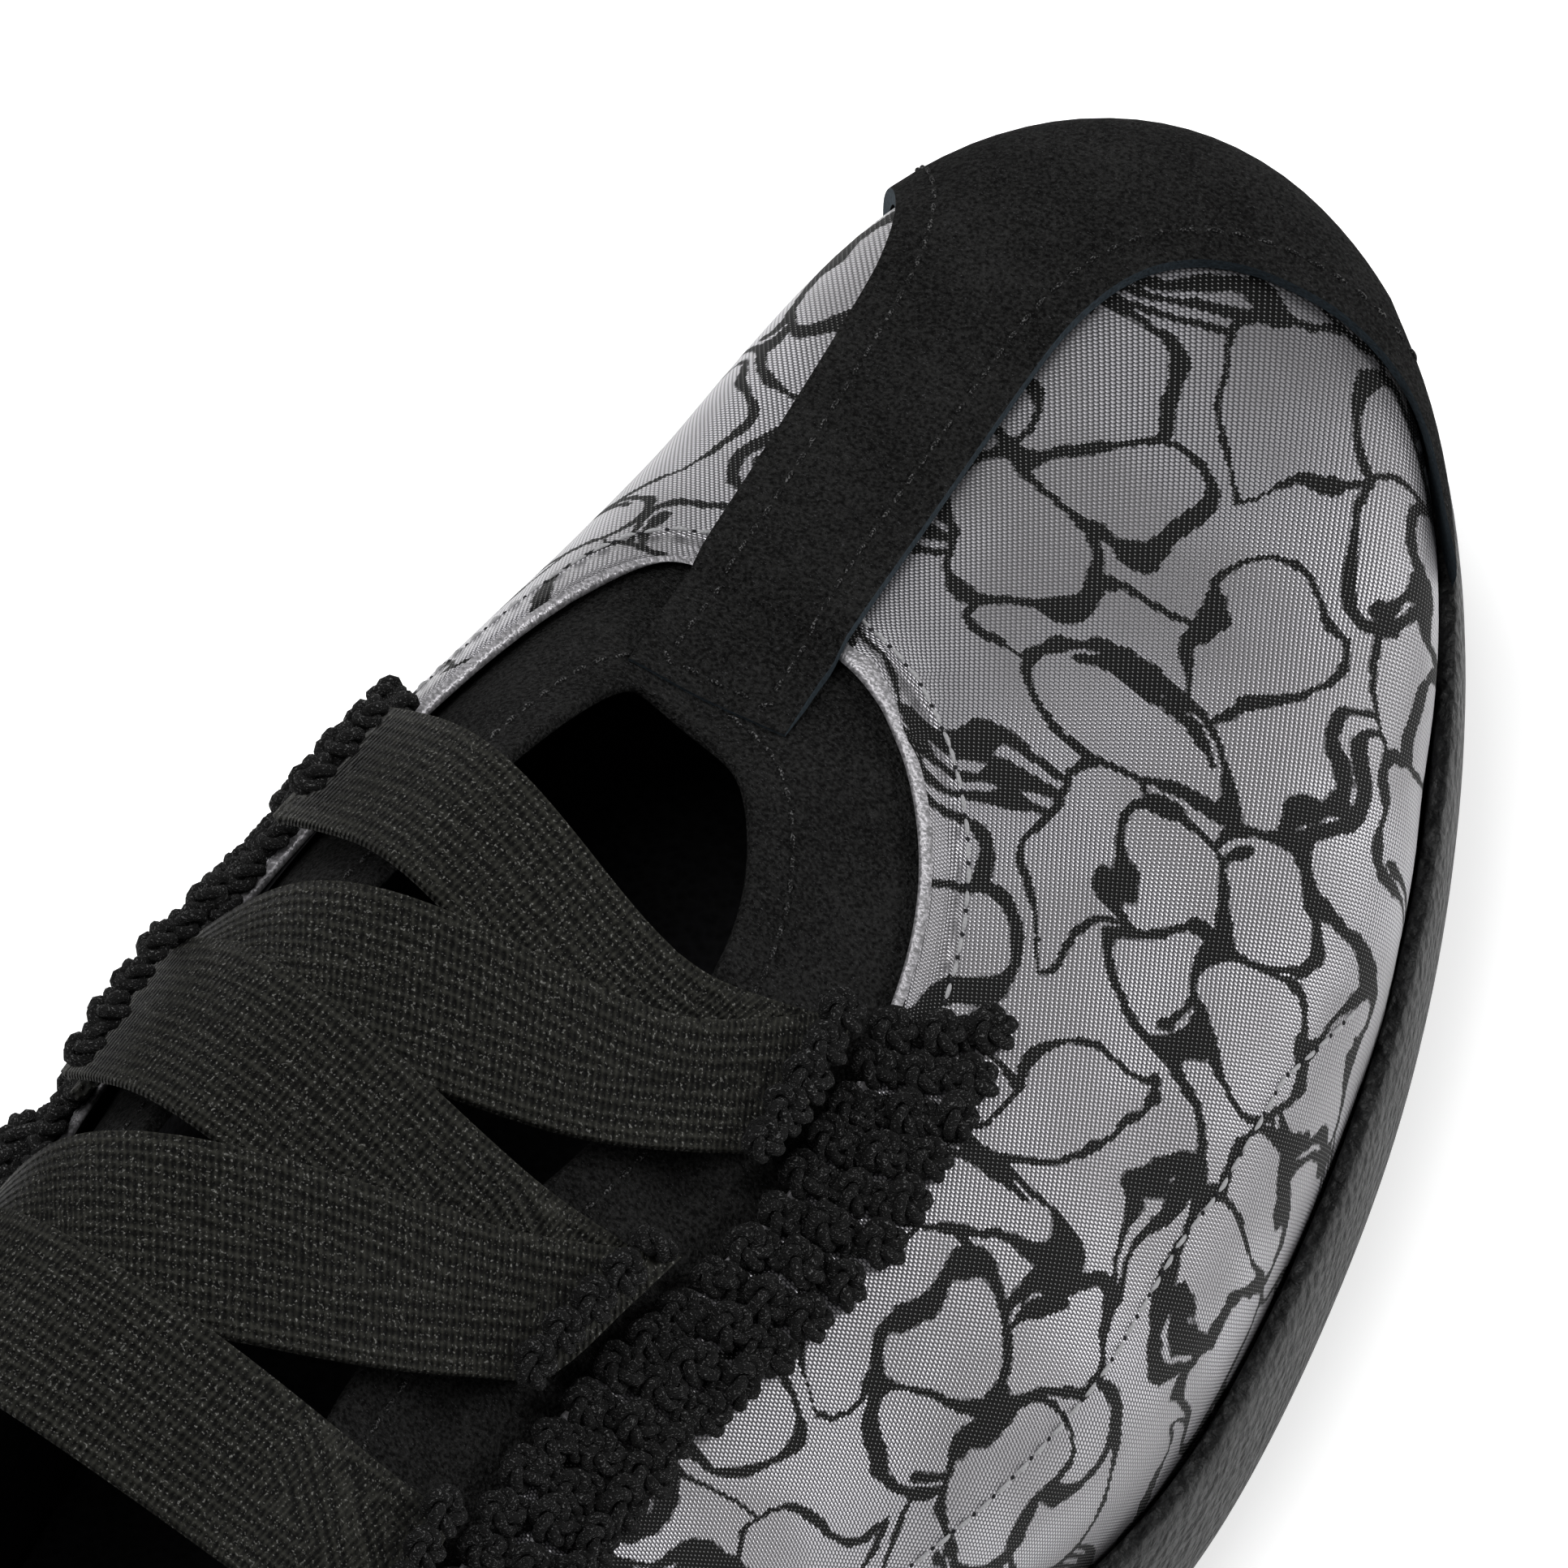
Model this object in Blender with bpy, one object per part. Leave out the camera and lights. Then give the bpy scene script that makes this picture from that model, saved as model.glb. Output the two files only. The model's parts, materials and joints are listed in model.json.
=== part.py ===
"""Right low sneaker with a T-shaped suede toe, an open throat and a lattice of flat elastic bands.

The shoe stands on its sole, toe along +Y, lateral side along +X. All sizes are in metres.
"""

import math

import bmesh
import bpy
import numpy as np

# Driving sizes of the shoe
LENGTH = 0.256
BALL_WIDTH = 0.088
HEEL_WIDTH = 0.062
INSTEP_HEIGHT = 0.070
COLLAR_HEIGHT = 0.064
GAP = 0.0003

# Sole
TOE_SPRING = 0.009
SPRING_START = 0.765
ARCH_RISE = 0.0020
HEEL_BEVEL = 0.0018
HEEL_LIP = 0.0220
BALL_LIP = 0.0178
HEEL_FLOOR = 0.0110
BALL_FLOOR = 0.0070
RIM = 0.0027
SOLE_FLARE = 0.0035
LIP_ROUND = 0.0012
UNDERSIDE_INSET = 0.0075

# Upper and the pieces sewn to it
WALL = 0.0016
SWELL = 0.0045
ROUNDED_SHOULDER = 0.00806
FACING_WALL = 0.0012
FACING_WIDTH = 0.0145
FACING_UNDERLAP = 0.0080
CAP_WALL = 0.0012
STRIP_WIDTH = 0.0157
STRIP_END_WIDTH = 0.0132
STRIP_SETBACK = 0.0025
TAIL_SETBACK = 0.00075
STRIP_OFFSET = -0.0027
STRIP_TURN = 8.3
CAP_REACH = 0.0600
CAP_SPREAD = 0.0300
HEEL_STRIP_WIDTH = 0.0180
INSOLE_WALL = 0.0035
INSOLE_DISH = 0.0010
INSOLE_PLAY = 0.0005
DISH_INSET = 0.0060

# Elastic bands and the crocheted edging that takes their ends
BAND_WIDTH = 0.0135
BAND_WALL = 0.0010
BAND_PITCH = 0.0278
FIRST_BAND = 0.0210
BAND_INSET = 0.0030
BAND_STEP = 0.0015
BAND_TWIST = 0.0013
BAND_COUNT = 5
THROAT_LENGTH = 0.0920
THROAT_MARGIN = 0.0010
EDGING_WIDTH = 0.0125
EDGING_WALL = 0.0026
EDGING_MARGIN = 0.0020

# How finely the curved pieces are cut
TURNS = 96
RIB_STEPS = 9
BAND_STEPS = 22
ROWS_ACROSS_BAND = 2
EDGING_ROWS = 23
THROAT_ROWS = 61
BRIDGE_STEPS = 60
SLOPE_STEP = 0.0030

# A row for each rib of the upper, from the back of the heel along the lateral side to the toe and back.
# sole_y and edge_y are shares of LENGTH, sole_x and edge_x shares of the local half width,
# edge_z of the local height, rise of the rib's height, swell of SWELL, crown of the rib's span,
# lean is the slope at the opening in degrees, facing a share of FACING_WIDTH.
COLUMNS = ("sole_y", "sole_x", "edge_y", "edge_x", "edge_z", "rise", "swell", "crown", "lean", "facing")
RIBS = (
    (0.000, 0.180, 0.040, 0.170, 1.000, 0.52, 1.10, 0.42, 80.0, 0.0),
    (0.031, 0.850, 0.062, 0.660, 0.985, 0.52, 1.10, 0.42, 82.0, 0.0),
    (0.117, 1.140, 0.135, 0.940, 0.910, 0.50, 0.90, 0.38, 84.0, 0.0),
    (0.242, 1.210, 0.242, 1.020, 0.870, 0.50, 0.70, 0.35, 78.0, 0.0),
    (0.377, 1.190, 0.334, 0.640, 0.970, 0.55, 0.67, 0.36, 55.0, 0.75),
    (0.505, 1.150, 0.442, 0.275, 0.966, 0.55, 0.75, 0.38, 42.0, 1.0),
    (0.625, 1.180, 0.550, 0.250, 0.880, 0.55, 0.95, 0.39, 36.0, 1.0),
    (0.739, 1.085, 0.617, 0.207, 0.815, 0.56, 1.19, 0.40, 32.0, 1.0),
    (0.851, 0.870, 0.667, 0.130, 0.775, 0.56, 1.34, 0.42, 28.0, 0.97),
    (0.970, 0.430, 0.702, -0.011, 0.758, 0.54, 1.40, 0.44, 25.0, 0.93),
    (1.020, -0.180, 0.712, -0.135, 0.740, 0.52, 1.25, 0.44, 24.0, 0.92),
    (0.965, -0.650, 0.716, -0.234, 0.738, 0.54, 0.91, 0.44, 25.0, 0.93),
    (0.850, -0.735, 0.714, -0.305, 0.755, 0.56, 0.63, 0.42, 28.0, 0.97),
    (0.731, -0.755, 0.679, -0.360, 0.820, 0.56, 0.50, 0.40, 34.0, 1.0),
    (0.618, -0.760, 0.598, -0.400, 0.905, 0.56, 0.45, 0.39, 42.0, 1.0),
    (0.497, -0.735, 0.472, -0.470, 0.980, 0.58, 0.35, 0.38, 50.0, 1.0),
    (0.374, -0.740, 0.348, -0.560, 0.995, 0.57, 0.40, 0.36, 60.0, 0.75),
    (0.242, -0.810, 0.242, -0.720, 0.885, 0.50, 0.70, 0.35, 78.0, 0.0),
    (0.117, -0.790, 0.135, -0.590, 0.920, 0.50, 0.90, 0.38, 84.0, 0.0),
    (0.031, -0.500, 0.062, -0.310, 0.988, 0.52, 1.10, 0.42, 82.0, 0.0),
)

# The back edge of the toe cap beside its centre strip, from the side of the shoe in to the strip:
# along is a share of CAP_REACH from the strip's end, out a share of CAP_SPREAD from the strip's edge.
CAP_EDGE = (
    (0.62, 1.50),
    (0.80, 1.08),
    (0.90, 0.94),
    (0.96, 0.80),
    (0.99, 0.61),
    (0.99, 0.44),
    (0.98, 0.30),
    (0.95, 0.18),
    (0.90, 0.09),
    (0.82, 0.03),
    (0.70, 0.00),
    (0.00, 0.00),
)


def smooth_step(value, start, end):
    """0 before start, 1 after end, and an even S between them."""
    share = np.clip((value - start) / (end - start), 0.0, 1.0)
    return share * share * (3.0 - 2.0 * share)


def bend_rates(table):
    """Second differences of the closed curve through the rows, one for each row and column."""
    count = len(table)
    matrix = 4.0 * np.eye(count)
    for row in range(count):
        matrix[row, (row + 1) % count] = 1.0
        matrix[row, row - 1] = 1.0
    steps = np.roll(table, -1, 0) - 2.0 * table + np.roll(table, 1, 0)
    return np.linalg.solve(matrix, 6.0 * steps)


RIB_TABLE = np.array(RIBS)
RIB_BENDS = bend_rates(RIB_TABLE)


def rib_values(turn):
    """The rib columns at any turn round the shoe: 0 at the heel, about a half at the toe."""
    place = np.mod(np.asarray(turn, float), 1.0) * len(RIB_TABLE)
    row = np.floor(place).astype(int) % len(RIB_TABLE)
    after = (row + 1) % len(RIB_TABLE)
    b = (place - np.floor(place))[..., None]
    a = 1.0 - b
    values = a * RIB_TABLE[row] + b * RIB_TABLE[after]
    values = values + ((a**3 - a) * RIB_BENDS[row] + (b**3 - b) * RIB_BENDS[after]) / 6.0
    return {name: values[..., index] for index, name in enumerate(COLUMNS)}


def half_width(share):
    """Half the shoe's width scale at a share of its length."""
    return 0.5 * (HEEL_WIDTH + (BALL_WIDTH - HEEL_WIDTH) * smooth_step(share, 0.30, 0.65))


def edge_height(share):
    """The height scale of the opening's edge at a share of the length."""
    return COLLAR_HEIGHT + (INSTEP_HEIGHT - COLLAR_HEIGHT) * smooth_step(share, 0.25, 0.35)


def raw_outline(turn):
    """The sole's outline before it is centred: X in metres, Y as a share of the length."""
    rib = rib_values(turn)
    return rib["sole_x"] * half_width(rib["sole_y"]), rib["sole_y"]


EVERY_TURN = np.linspace(0.0, 1.0, 4001)
RAW_X, RAW_Y = raw_outline(EVERY_TURN)
CENTRE_X = 0.5 * (RAW_X.max() + RAW_X.min())
CENTRE_Y = 0.5 * (RAW_Y.max() + RAW_Y.min())
Y_SCALE = LENGTH / (RAW_Y.max() - RAW_Y.min())
TOE = EVERY_TURN[np.argmax(RAW_Y)]


def plan_y(share):
    """The shoe's Y at a share of its length from the heel."""
    return (share - CENTRE_Y) * Y_SCALE


def outline(turn, inset=0.0):
    """The sole's outline in plan, moved inwards by inset."""
    step = 1e-4
    x, share = raw_outline(turn)
    x_after, share_after = raw_outline(turn + step)
    x_before, share_before = raw_outline(turn - step)
    run = np.stack([x_after - x_before, plan_y(share_after) - plan_y(share_before)], -1)
    run /= np.linalg.norm(run, axis=-1, keepdims=True)
    inward = np.stack([-run[..., 1], run[..., 0]], -1)
    plan = np.stack([x - CENTRE_X, plan_y(share)], -1)
    return plan + inward * np.asarray(inset)[..., None], inward


def base_height(y):
    """Height at which upper and insole stand on the tray."""
    return floor_height(y) + GAP


def length_share(y):
    """The share of the shoe's length at a Y."""
    return y / Y_SCALE + CENTRE_Y


def toe_lift(y):
    """How far the toe springs up off the floor."""
    return TOE_SPRING * np.clip((length_share(y) - SPRING_START) / (1.0 - SPRING_START), 0.0, None) ** 1.8


def under_height(y):
    """How far the sole's underside stands off the floor: heel bevel, arch and toe spring."""
    share = length_share(y)
    heel = HEEL_BEVEL * (1.0 - smooth_step(share, 0.0, 0.06))
    arch = ARCH_RISE * smooth_step(share, 0.29, 0.37) * (1.0 - smooth_step(share, 0.43, 0.51))
    return heel + arch + toe_lift(y)


def lip_height(y):
    """Height of the sole's top lip."""
    share = length_share(y)
    return BALL_LIP + (HEEL_LIP - BALL_LIP) * (1.0 - smooth_step(share, 0.15, 0.60)) + toe_lift(y)


def floor_height(y):
    """Height of the tray inside the sole, on which the insole lies."""
    share = length_share(y)
    return BALL_FLOOR + (HEEL_FLOOR - BALL_FLOOR) * (1.0 - smooth_step(share, 0.15, 0.60)) + toe_lift(y)


def skin(turn, rise):
    """A point of the upper's outer surface. rise runs from 0 at the sole's lip to 1 at the opening."""
    turn, rise = np.broadcast_arrays(np.asarray(turn, float), np.asarray(rise, float))
    rib = rib_values(turn)
    foot, inward = outline(turn, np.full(turn.shape, RIM + GAP))
    foot = np.concatenate([foot, lip_height(foot[..., 1])[..., None]], -1)
    share = rib["edge_y"]
    edge = np.stack(
        [
            rib["edge_x"] * half_width(share) - CENTRE_X,
            plan_y(share),
            rib["edge_z"] * edge_height(share),
        ],
        -1,
    )
    outward = np.concatenate([-inward, np.zeros(turn.shape + (1,))], -1)
    up = np.array([0.0, 0.0, 1.0])
    height = (edge[..., 2] - foot[..., 2])[..., None]
    low = foot + outward * (rib["swell"] * SWELL)[..., None] + up * height * rib["rise"][..., None]
    across = edge - foot
    across[..., 2] = 0.0
    across = across - outward * ROUNDED_SHOULDER
    across /= np.linalg.norm(across, axis=-1, keepdims=True)
    lean = np.radians(rib["lean"])[..., None]
    span = np.linalg.norm(edge - foot, axis=-1, keepdims=True)
    high = edge - span * rib["crown"][..., None] * (across * np.cos(lean) + up * np.sin(lean))
    b = rise[..., None]
    a = 1.0 - b
    return a**3 * foot + 3 * a * a * b * low + 3 * a * b * b * high + b**3 * edge


def lifted(turn, rise, lift):
    """A point of the upper's surface moved outwards by lift."""
    turn, rise, lift = np.broadcast_arrays(
        np.asarray(turn, float), np.asarray(rise, float), np.asarray(lift, float)
    )
    turn_step = 2e-4
    rise_step = 2e-3
    along = skin(turn + turn_step, rise) - skin(turn - turn_step, rise)
    upward = skin(turn, rise + rise_step) - skin(turn, rise - rise_step)
    normal = np.cross(along, upward)
    normal /= np.linalg.norm(normal, axis=-1, keepdims=True)
    return skin(turn, rise) + normal * lift[..., None]


RISE_SAMPLES = np.linspace(0.0, 1.0, 81)


def rise_before_edge(turn, distance):
    """The rise at which a rib still has this distance to go to the opening's edge."""
    turn, distance = np.broadcast_arrays(np.asarray(turn, float), np.asarray(distance, float))
    flat_turn = turn.ravel()
    points = skin(flat_turn[:, None], RISE_SAMPLES[None, :])
    steps = np.linalg.norm(np.diff(points, axis=1), axis=-1)
    left = np.concatenate([np.cumsum(steps[:, ::-1], 1)[:, ::-1], np.zeros((len(flat_turn), 1))], 1)
    found = [
        np.interp(-wanted, -row, RISE_SAMPLES) for wanted, row in zip(distance.ravel(), left)
    ]
    return np.array(found).reshape(turn.shape)


def facing_width(turn):
    """How far the suede facing shows past the edge of the satin."""
    return np.clip(rib_values(turn)["facing"], 0.0, 1.0) * FACING_WIDTH


def even_turns(count):
    """Turns at even distances, taken along the sole's outline and the opening's edge together."""
    plan, _ = outline(EVERY_TURN)
    walked = np.zeros(len(EVERY_TURN))
    for path in (plan, skin(EVERY_TURN, 1.0)):
        walked[1:] += np.cumsum(np.linalg.norm(np.diff(path, axis=0), axis=1))
    return np.interp(np.arange(count) / count * walked[-1], walked, EVERY_TURN)


def make_object(name, points, faces, material, smooth=True):
    """A mesh object with outward faces."""
    mesh = bpy.data.meshes.new(name)
    mesh.from_pydata([tuple(point) for point in points], [], faces)
    shape = bmesh.new()
    shape.from_mesh(mesh)
    bmesh.ops.remove_doubles(shape, verts=shape.verts, dist=1e-6)
    bmesh.ops.recalc_face_normals(shape, faces=shape.faces)
    shape.to_mesh(mesh)
    shape.free()
    mesh.materials.append(material)
    if smooth:
        mesh.shade_smooth()
        mesh.set_sharp_from_angle(angle=math.radians(40.0))
    made = bpy.data.objects.new(name, mesh)
    bpy.context.scene.collection.objects.link(made)
    return made


def ring_faces(count, rings, closed):
    """Faces between neighbouring rings of count points, and from the last ring to the first."""
    faces = []
    for ring in range(rings if closed else rings - 1):
        low = ring * count
        high = (ring + 1) % rings * count
        for place in range(count):
            after = (place + 1) % count
            faces.append((low + place, low + after, high + after, high + place))
    return faces


def ladder_faces(count, start):
    """Rungs across a shoe-shaped ring, from its lateral to its medial side."""
    faces = [(start, start + 1, start + count - 1)]
    for rung in range(1, count // 2 - 1):
        faces.append((start + rung, start + rung + 1, start + count - rung - 1, start + count - rung))
    last = count // 2 - 1
    faces.append((start + last, start + last + 1, start + count - last))
    return faces


def plate(name, rings, material):
    """A solid of shoe-shaped rings, closed across its first and last ring."""
    count = len(rings[0])
    faces = ring_faces(count, len(rings), closed=False)
    faces += ladder_faces(count, 0)
    faces += ladder_faces(count, (len(rings) - 1) * count)
    return make_object(name, np.concatenate(rings), faces, material)


def collar_solid(name, rings, material):
    """A solid whose rings close on themselves, open in the middle like a collar."""
    count = len(rings[0])
    return make_object(name, np.concatenate(rings), ring_faces(count, len(rings), True), material)


def slab(name, outside, inside, material):
    """A curved slab between two grids of points of one shape."""
    rows, columns = outside.shape[:2]
    half = rows * columns

    def at(row, column, side):
        return side * half + row * columns + column

    faces = []
    for row in range(rows - 1):
        for column in range(columns - 1):
            for side in (0, 1):
                faces.append(
                    (
                        at(row, column, side),
                        at(row + 1, column, side),
                        at(row + 1, column + 1, side),
                        at(row, column + 1, side),
                    )
                )
    for row in range(rows - 1):
        for column in (0, columns - 1):
            faces.append(
                (at(row, column, 0), at(row + 1, column, 0), at(row + 1, column, 1), at(row, column, 1))
            )
    for column in range(columns - 1):
        for row in (0, rows - 1):
            faces.append(
                (at(row, column, 0), at(row, column + 1, 0), at(row, column + 1, 1), at(row, column, 1))
            )
    points = np.concatenate([outside.reshape(-1, 3), inside.reshape(-1, 3)])
    return make_object(name, points, faces, material)


def finish(name, colour, roughness, metallic=0.0):
    """A plain material of one colour."""
    material = bpy.data.materials.new(name)
    material.use_nodes = True
    shader = material.node_tree.nodes["Principled BSDF"]
    shader.inputs["Base Color"].default_value = (*colour, 1.0)
    shader.inputs["Roughness"].default_value = roughness
    shader.inputs["Metallic"].default_value = metallic
    return material


def level_ring(turns, inset, height):
    """A ring at an inset from the outline, its height a function of Y."""
    plan, _ = outline(turns, np.full(turns.shape, inset))
    return np.concatenate([plan, height(plan[:, 1])[:, None]], 1)


def build_sole(turns, rubber):
    """The rubber cup sole: underside, rounded side, lip, and the tray inside the rim."""
    rings = [
        level_ring(turns, UNDERSIDE_INSET, under_height),
        level_ring(turns, SOLE_FLARE, under_height),
        level_ring(turns, SOLE_FLARE * 0.30, lambda y: under_height(y) + SOLE_FLARE * 0.55),
        level_ring(turns, 0.0, lambda y: under_height(y) + SOLE_FLARE * 1.9),
        level_ring(turns, LIP_ROUND * 0.25, lambda y: lip_height(y) - LIP_ROUND * 1.6),
        level_ring(turns, LIP_ROUND, lip_height),
        level_ring(turns, RIM - LIP_ROUND * 0.25, lip_height),
        level_ring(turns, RIM, lambda y: lip_height(y) - LIP_ROUND * 0.5),
        level_ring(turns, RIM, floor_height),
    ]
    return plate("sole", rings, rubber)


def build_insole(turns, lining):
    """The footbed: a plate with a slightly dished top, inside the upper's wall."""
    edge = RIM + GAP + WALL + INSOLE_PLAY
    rings = [
        level_ring(turns, edge, base_height),
        level_ring(turns, edge, lambda y: base_height(y) + INSOLE_WALL),
        level_ring(turns, edge + DISH_INSET, lambda y: base_height(y) + INSOLE_WALL - INSOLE_DISH),
    ]
    return plate("insole", rings, lining)


def build_upper(turns, satin):
    """The satin upper: a wall from the tray of the sole up to its rolled edge, open above and below."""
    top = rise_before_edge(turns, facing_width(turns))
    rows = np.linspace(0.0, 1.0, RIB_STEPS + 1)
    outside = [lifted(turns, top * row, 0.0) for row in rows]
    inside = [lifted(turns, top * row, -WALL) for row in rows[::-1]]
    rings = [level_ring(turns, RIM + GAP, base_height)]
    rings += outside
    rings += inside
    rings.append(level_ring(turns, RIM + GAP + WALL, base_height))
    return collar_solid("upper", rings, satin)


def build_facing(turns, suede):
    """The suede facing of throat and collar, under the satin's edge and past it to the opening."""
    start = rise_before_edge(turns, facing_width(turns) + FACING_UNDERLAP)
    rows = np.linspace(0.0, 1.0, 4)
    outer_lift = -WALL - GAP
    outside = [lifted(turns, start + (1.0 - start) * row, outer_lift) for row in rows]
    inside = [lifted(turns, start + (1.0 - start) * row, outer_lift - FACING_WALL) for row in rows[::-1]]
    return collar_solid("throat_facing", outside + inside, suede)


def cap_plan():
    """The closed plan of the T-shaped toe piece."""
    front = skin(TOE, 1.0)
    turn = math.radians(STRIP_TURN)
    ahead = np.array([-math.sin(turn), math.cos(turn)])
    aside = np.array([math.cos(turn), math.sin(turn)])
    start = front[:2] + np.array([STRIP_OFFSET, STRIP_SETBACK])
    lateral = []
    medial = []
    for along, out in CAP_EDGE:
        reach = ahead * along * CAP_REACH
        side = 0.5 * (STRIP_END_WIDTH + (STRIP_WIDTH - STRIP_END_WIDTH) * along) + out * CAP_SPREAD
        lateral.append(start + reach + aside * side)
        medial.append(start + reach - aside * side)
    far = start + ahead * 0.5 * LENGTH
    corners = [far - aside * BALL_WIDTH, far + aside * BALL_WIDTH]
    return lateral + medial[::-1] + corners


def cut_to(shape, plan):
    """Keeps what of a shape lies over a closed plan, by a Boolean with an upright prism."""
    count = len(plan)
    points = [(*point, height) for height in (BALL_FLOOR, INSTEP_HEIGHT) for point in plan]
    faces = [tuple(range(count)), tuple(range(count, 2 * count))]
    for place in range(count):
        after = (place + 1) % count
        faces.append((place, after, count + after, count + place))
    prism = make_object(shape.name + "_cutter", points, faces, shape.data.materials[0], smooth=False)
    prism.hide_render = True
    prism.display_type = "WIRE"
    cut = shape.modifiers.new("plan", "BOOLEAN")
    cut.operation = "INTERSECT"
    cut.object = prism


def build_toe_cap(turns, suede):
    """The suede toe piece with its centre strip, which steps down over the satin's edge to the facing."""
    turns = turns[np.abs(turns - TOE) < 0.17][:, None]
    satin_end = rise_before_edge(turns, facing_width(turns))
    just_past = rise_before_edge(turns, facing_width(turns) - CAP_WALL)
    down = rise_before_edge(turns, facing_width(turns) - 2.2 * CAP_WALL)
    tail = rise_before_edge(turns, TAIL_SETBACK)
    first = 0.35 / RIB_STEPS
    rows = np.append(first, np.arange(1, RIB_STEPS + 1) / RIB_STEPS)[None, :]
    rises = np.concatenate([satin_end * rows, just_past, down, tail], 1)
    on_facing = -WALL
    lifts = np.array([GAP] * (RIB_STEPS + 2) + [on_facing] * 2)[None, :]
    cap = slab("toe_cap", lifted(turns, rises, lifts + CAP_WALL), lifted(turns, rises, lifts), suede)
    cut_to(cap, cap_plan())


def build_heel_strip(suede):
    """The suede strip over the back seam, from the sole's lip to the collar."""
    perimeter = np.linalg.norm(np.diff(outline(EVERY_TURN)[0], axis=0), axis=1).sum()
    half = 0.5 * HEEL_STRIP_WIDTH / perimeter
    even = np.linspace(-half, half, 7)
    plan_turns = np.interp(even % 1.0, np.arange(TURNS + 1) / TURNS, np.append(even_turns(TURNS), 1.0))
    rises = np.linspace(0.045, 0.985, 7)[None, :]
    turns = plan_turns[:, None]
    return slab(
        "heel_strip", lifted(turns, rises, GAP + CAP_WALL), lifted(turns, rises, GAP), suede
    )


def side_turns(side):
    """Turns of one side between heel and toe, and the Y of the satin's edge at each."""
    turns = np.linspace(0.12, TOE - 0.02, 160) if side > 0 else np.linspace(0.88, TOE + 0.02, 160)
    edge = skin(turns, rise_before_edge(turns, facing_width(turns)))
    return turns, edge[:, 1]


def turn_at(side, y):
    """The turn at which the satin's edge on one side reaches a Y."""
    turns, edge_y = side_turns(side)
    return np.interp(y, edge_y, turns)


def instep_grid():
    """Curves over the open instep, each from the lateral satin edge to the medial one.

    Each follows the rib over the facing, bridges the opening in a low arch, and follows the other rib.
    """
    front = float(skin(TOE, 1.0)[1])
    ys = np.linspace(front - THROAT_LENGTH, front + THROAT_MARGIN, THROAT_ROWS)
    halves = []
    for side in (1, -1):
        turns = turn_at(side, ys)
        start = rise_before_edge(turns, facing_width(turns) - BAND_INSET)
        rises = start[:, None] + (1.0 - start[:, None]) * np.linspace(0.0, 1.0, 16)[None, :]
        halves.append(skin(turns[:, None], rises))
    lateral, medial = halves
    span = np.linalg.norm(lateral[:, -1] - medial[:, -1], axis=-1)[:, None]
    reach = 0.36 * span
    out_of = lateral[:, -1] - lateral[:, -2]
    into = medial[:, -1] - medial[:, -2]
    out_of /= np.linalg.norm(out_of, axis=-1, keepdims=True)
    into /= np.linalg.norm(into, axis=-1, keepdims=True)
    b = np.linspace(0.0, 1.0, 24)[None, 1:-1, None]
    a = 1.0 - b
    bridge = a**3 * lateral[:, -1:] + 3 * a * a * b * (lateral[:, -1:] + (out_of * reach)[:, None])
    bridge = bridge + 3 * a * b * b * (medial[:, -1:] + (into * reach)[:, None]) + b**3 * medial[:, -1:]
    curves = np.concatenate([lateral, bridge, medial[:, ::-1]], 1)
    even = []
    for curve in curves:
        walked = np.concatenate([[0.0], np.cumsum(np.linalg.norm(np.diff(curve, axis=0), axis=1))])
        wanted = np.linspace(0.0, walked[-1], BRIDGE_STEPS + 1)
        even.append(np.stack([np.interp(wanted, walked, curve[:, axis]) for axis in range(3)], 1))
    return ys, np.array(even)


INSTEP_YS, INSTEP = instep_grid()


def instep(y, across):
    """A point of the arched surface over the throat. across is 0 at the lateral side, 1 at the medial."""
    y, across = np.broadcast_arrays(np.asarray(y, float), np.asarray(across, float))
    row = np.clip((y - INSTEP_YS[0]) / (INSTEP_YS[1] - INSTEP_YS[0]), 0.0, THROAT_ROWS - 1.001)
    column = np.clip(across * BRIDGE_STEPS, 0.0, BRIDGE_STEPS - 0.001)
    i = row.astype(int)
    j = column.astype(int)
    v = (row - i)[..., None]
    u = (column - j)[..., None]
    low = INSTEP[i, j] * (1 - u) + INSTEP[i, j + 1] * u
    high = INSTEP[i + 1, j] * (1 - u) + INSTEP[i + 1, j + 1] * u
    return low * (1 - v) + high * v


def instep_lifted(y, across, lift):
    """The same, moved outwards by lift."""
    along = instep(y + SLOPE_STEP, across) - instep(y - SLOPE_STEP, across)
    over = instep(y, np.clip(across + 0.03, 0.0, 1.0)) - instep(y, np.clip(across - 0.03, 0.0, 1.0))
    normal = np.cross(over, along)
    normal /= np.linalg.norm(normal, axis=-1, keepdims=True)
    normal *= np.where(normal[..., 2:] < 0.0, -1.0, 1.0)
    return instep(y, across) + normal * np.asarray(lift)[..., None]


def band_anchors(index):
    """Y of a band's lateral and medial end. Bands run straight across and slanted by turns."""
    first = float(skin(TOE, 1.0)[1]) - FIRST_BAND
    lateral = first - BAND_PITCH * (index // 2)
    medial = first - BAND_PITCH * ((index + 1) // 2)
    return lateral, medial


def build_band(index, elastic):
    """One flat elastic band. Each lies over the one before it and under the one after it."""
    lateral, medial = band_anchors(index)
    along = np.linspace(0.0, 1.0, BAND_STEPS + 1)[:, None]
    over = np.linspace(-1.0, 1.0, ROWS_ACROSS_BAND + 1)[None, :]
    slant = math.atan2(lateral - medial, 2.0 * half_width(0.6) * 0.6)
    half = 0.5 * BAND_WIDTH / math.cos(slant)
    y = lateral + (medial - lateral) * along + over * half
    from_start = along if index % 2 else 1.0 - along
    lift = GAP + BAND_STEP * (1.0 - from_start) + BAND_TWIST * (over + 1.0) * np.sin(math.pi * along)
    y, across, lift = np.broadcast_arrays(y, along, lift)
    return slab(
        f"elastic_band_{index + 1}",
        instep_lifted(y, across, lift + BAND_WALL),
        instep_lifted(y, across, lift),
        elastic,
    )


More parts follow.
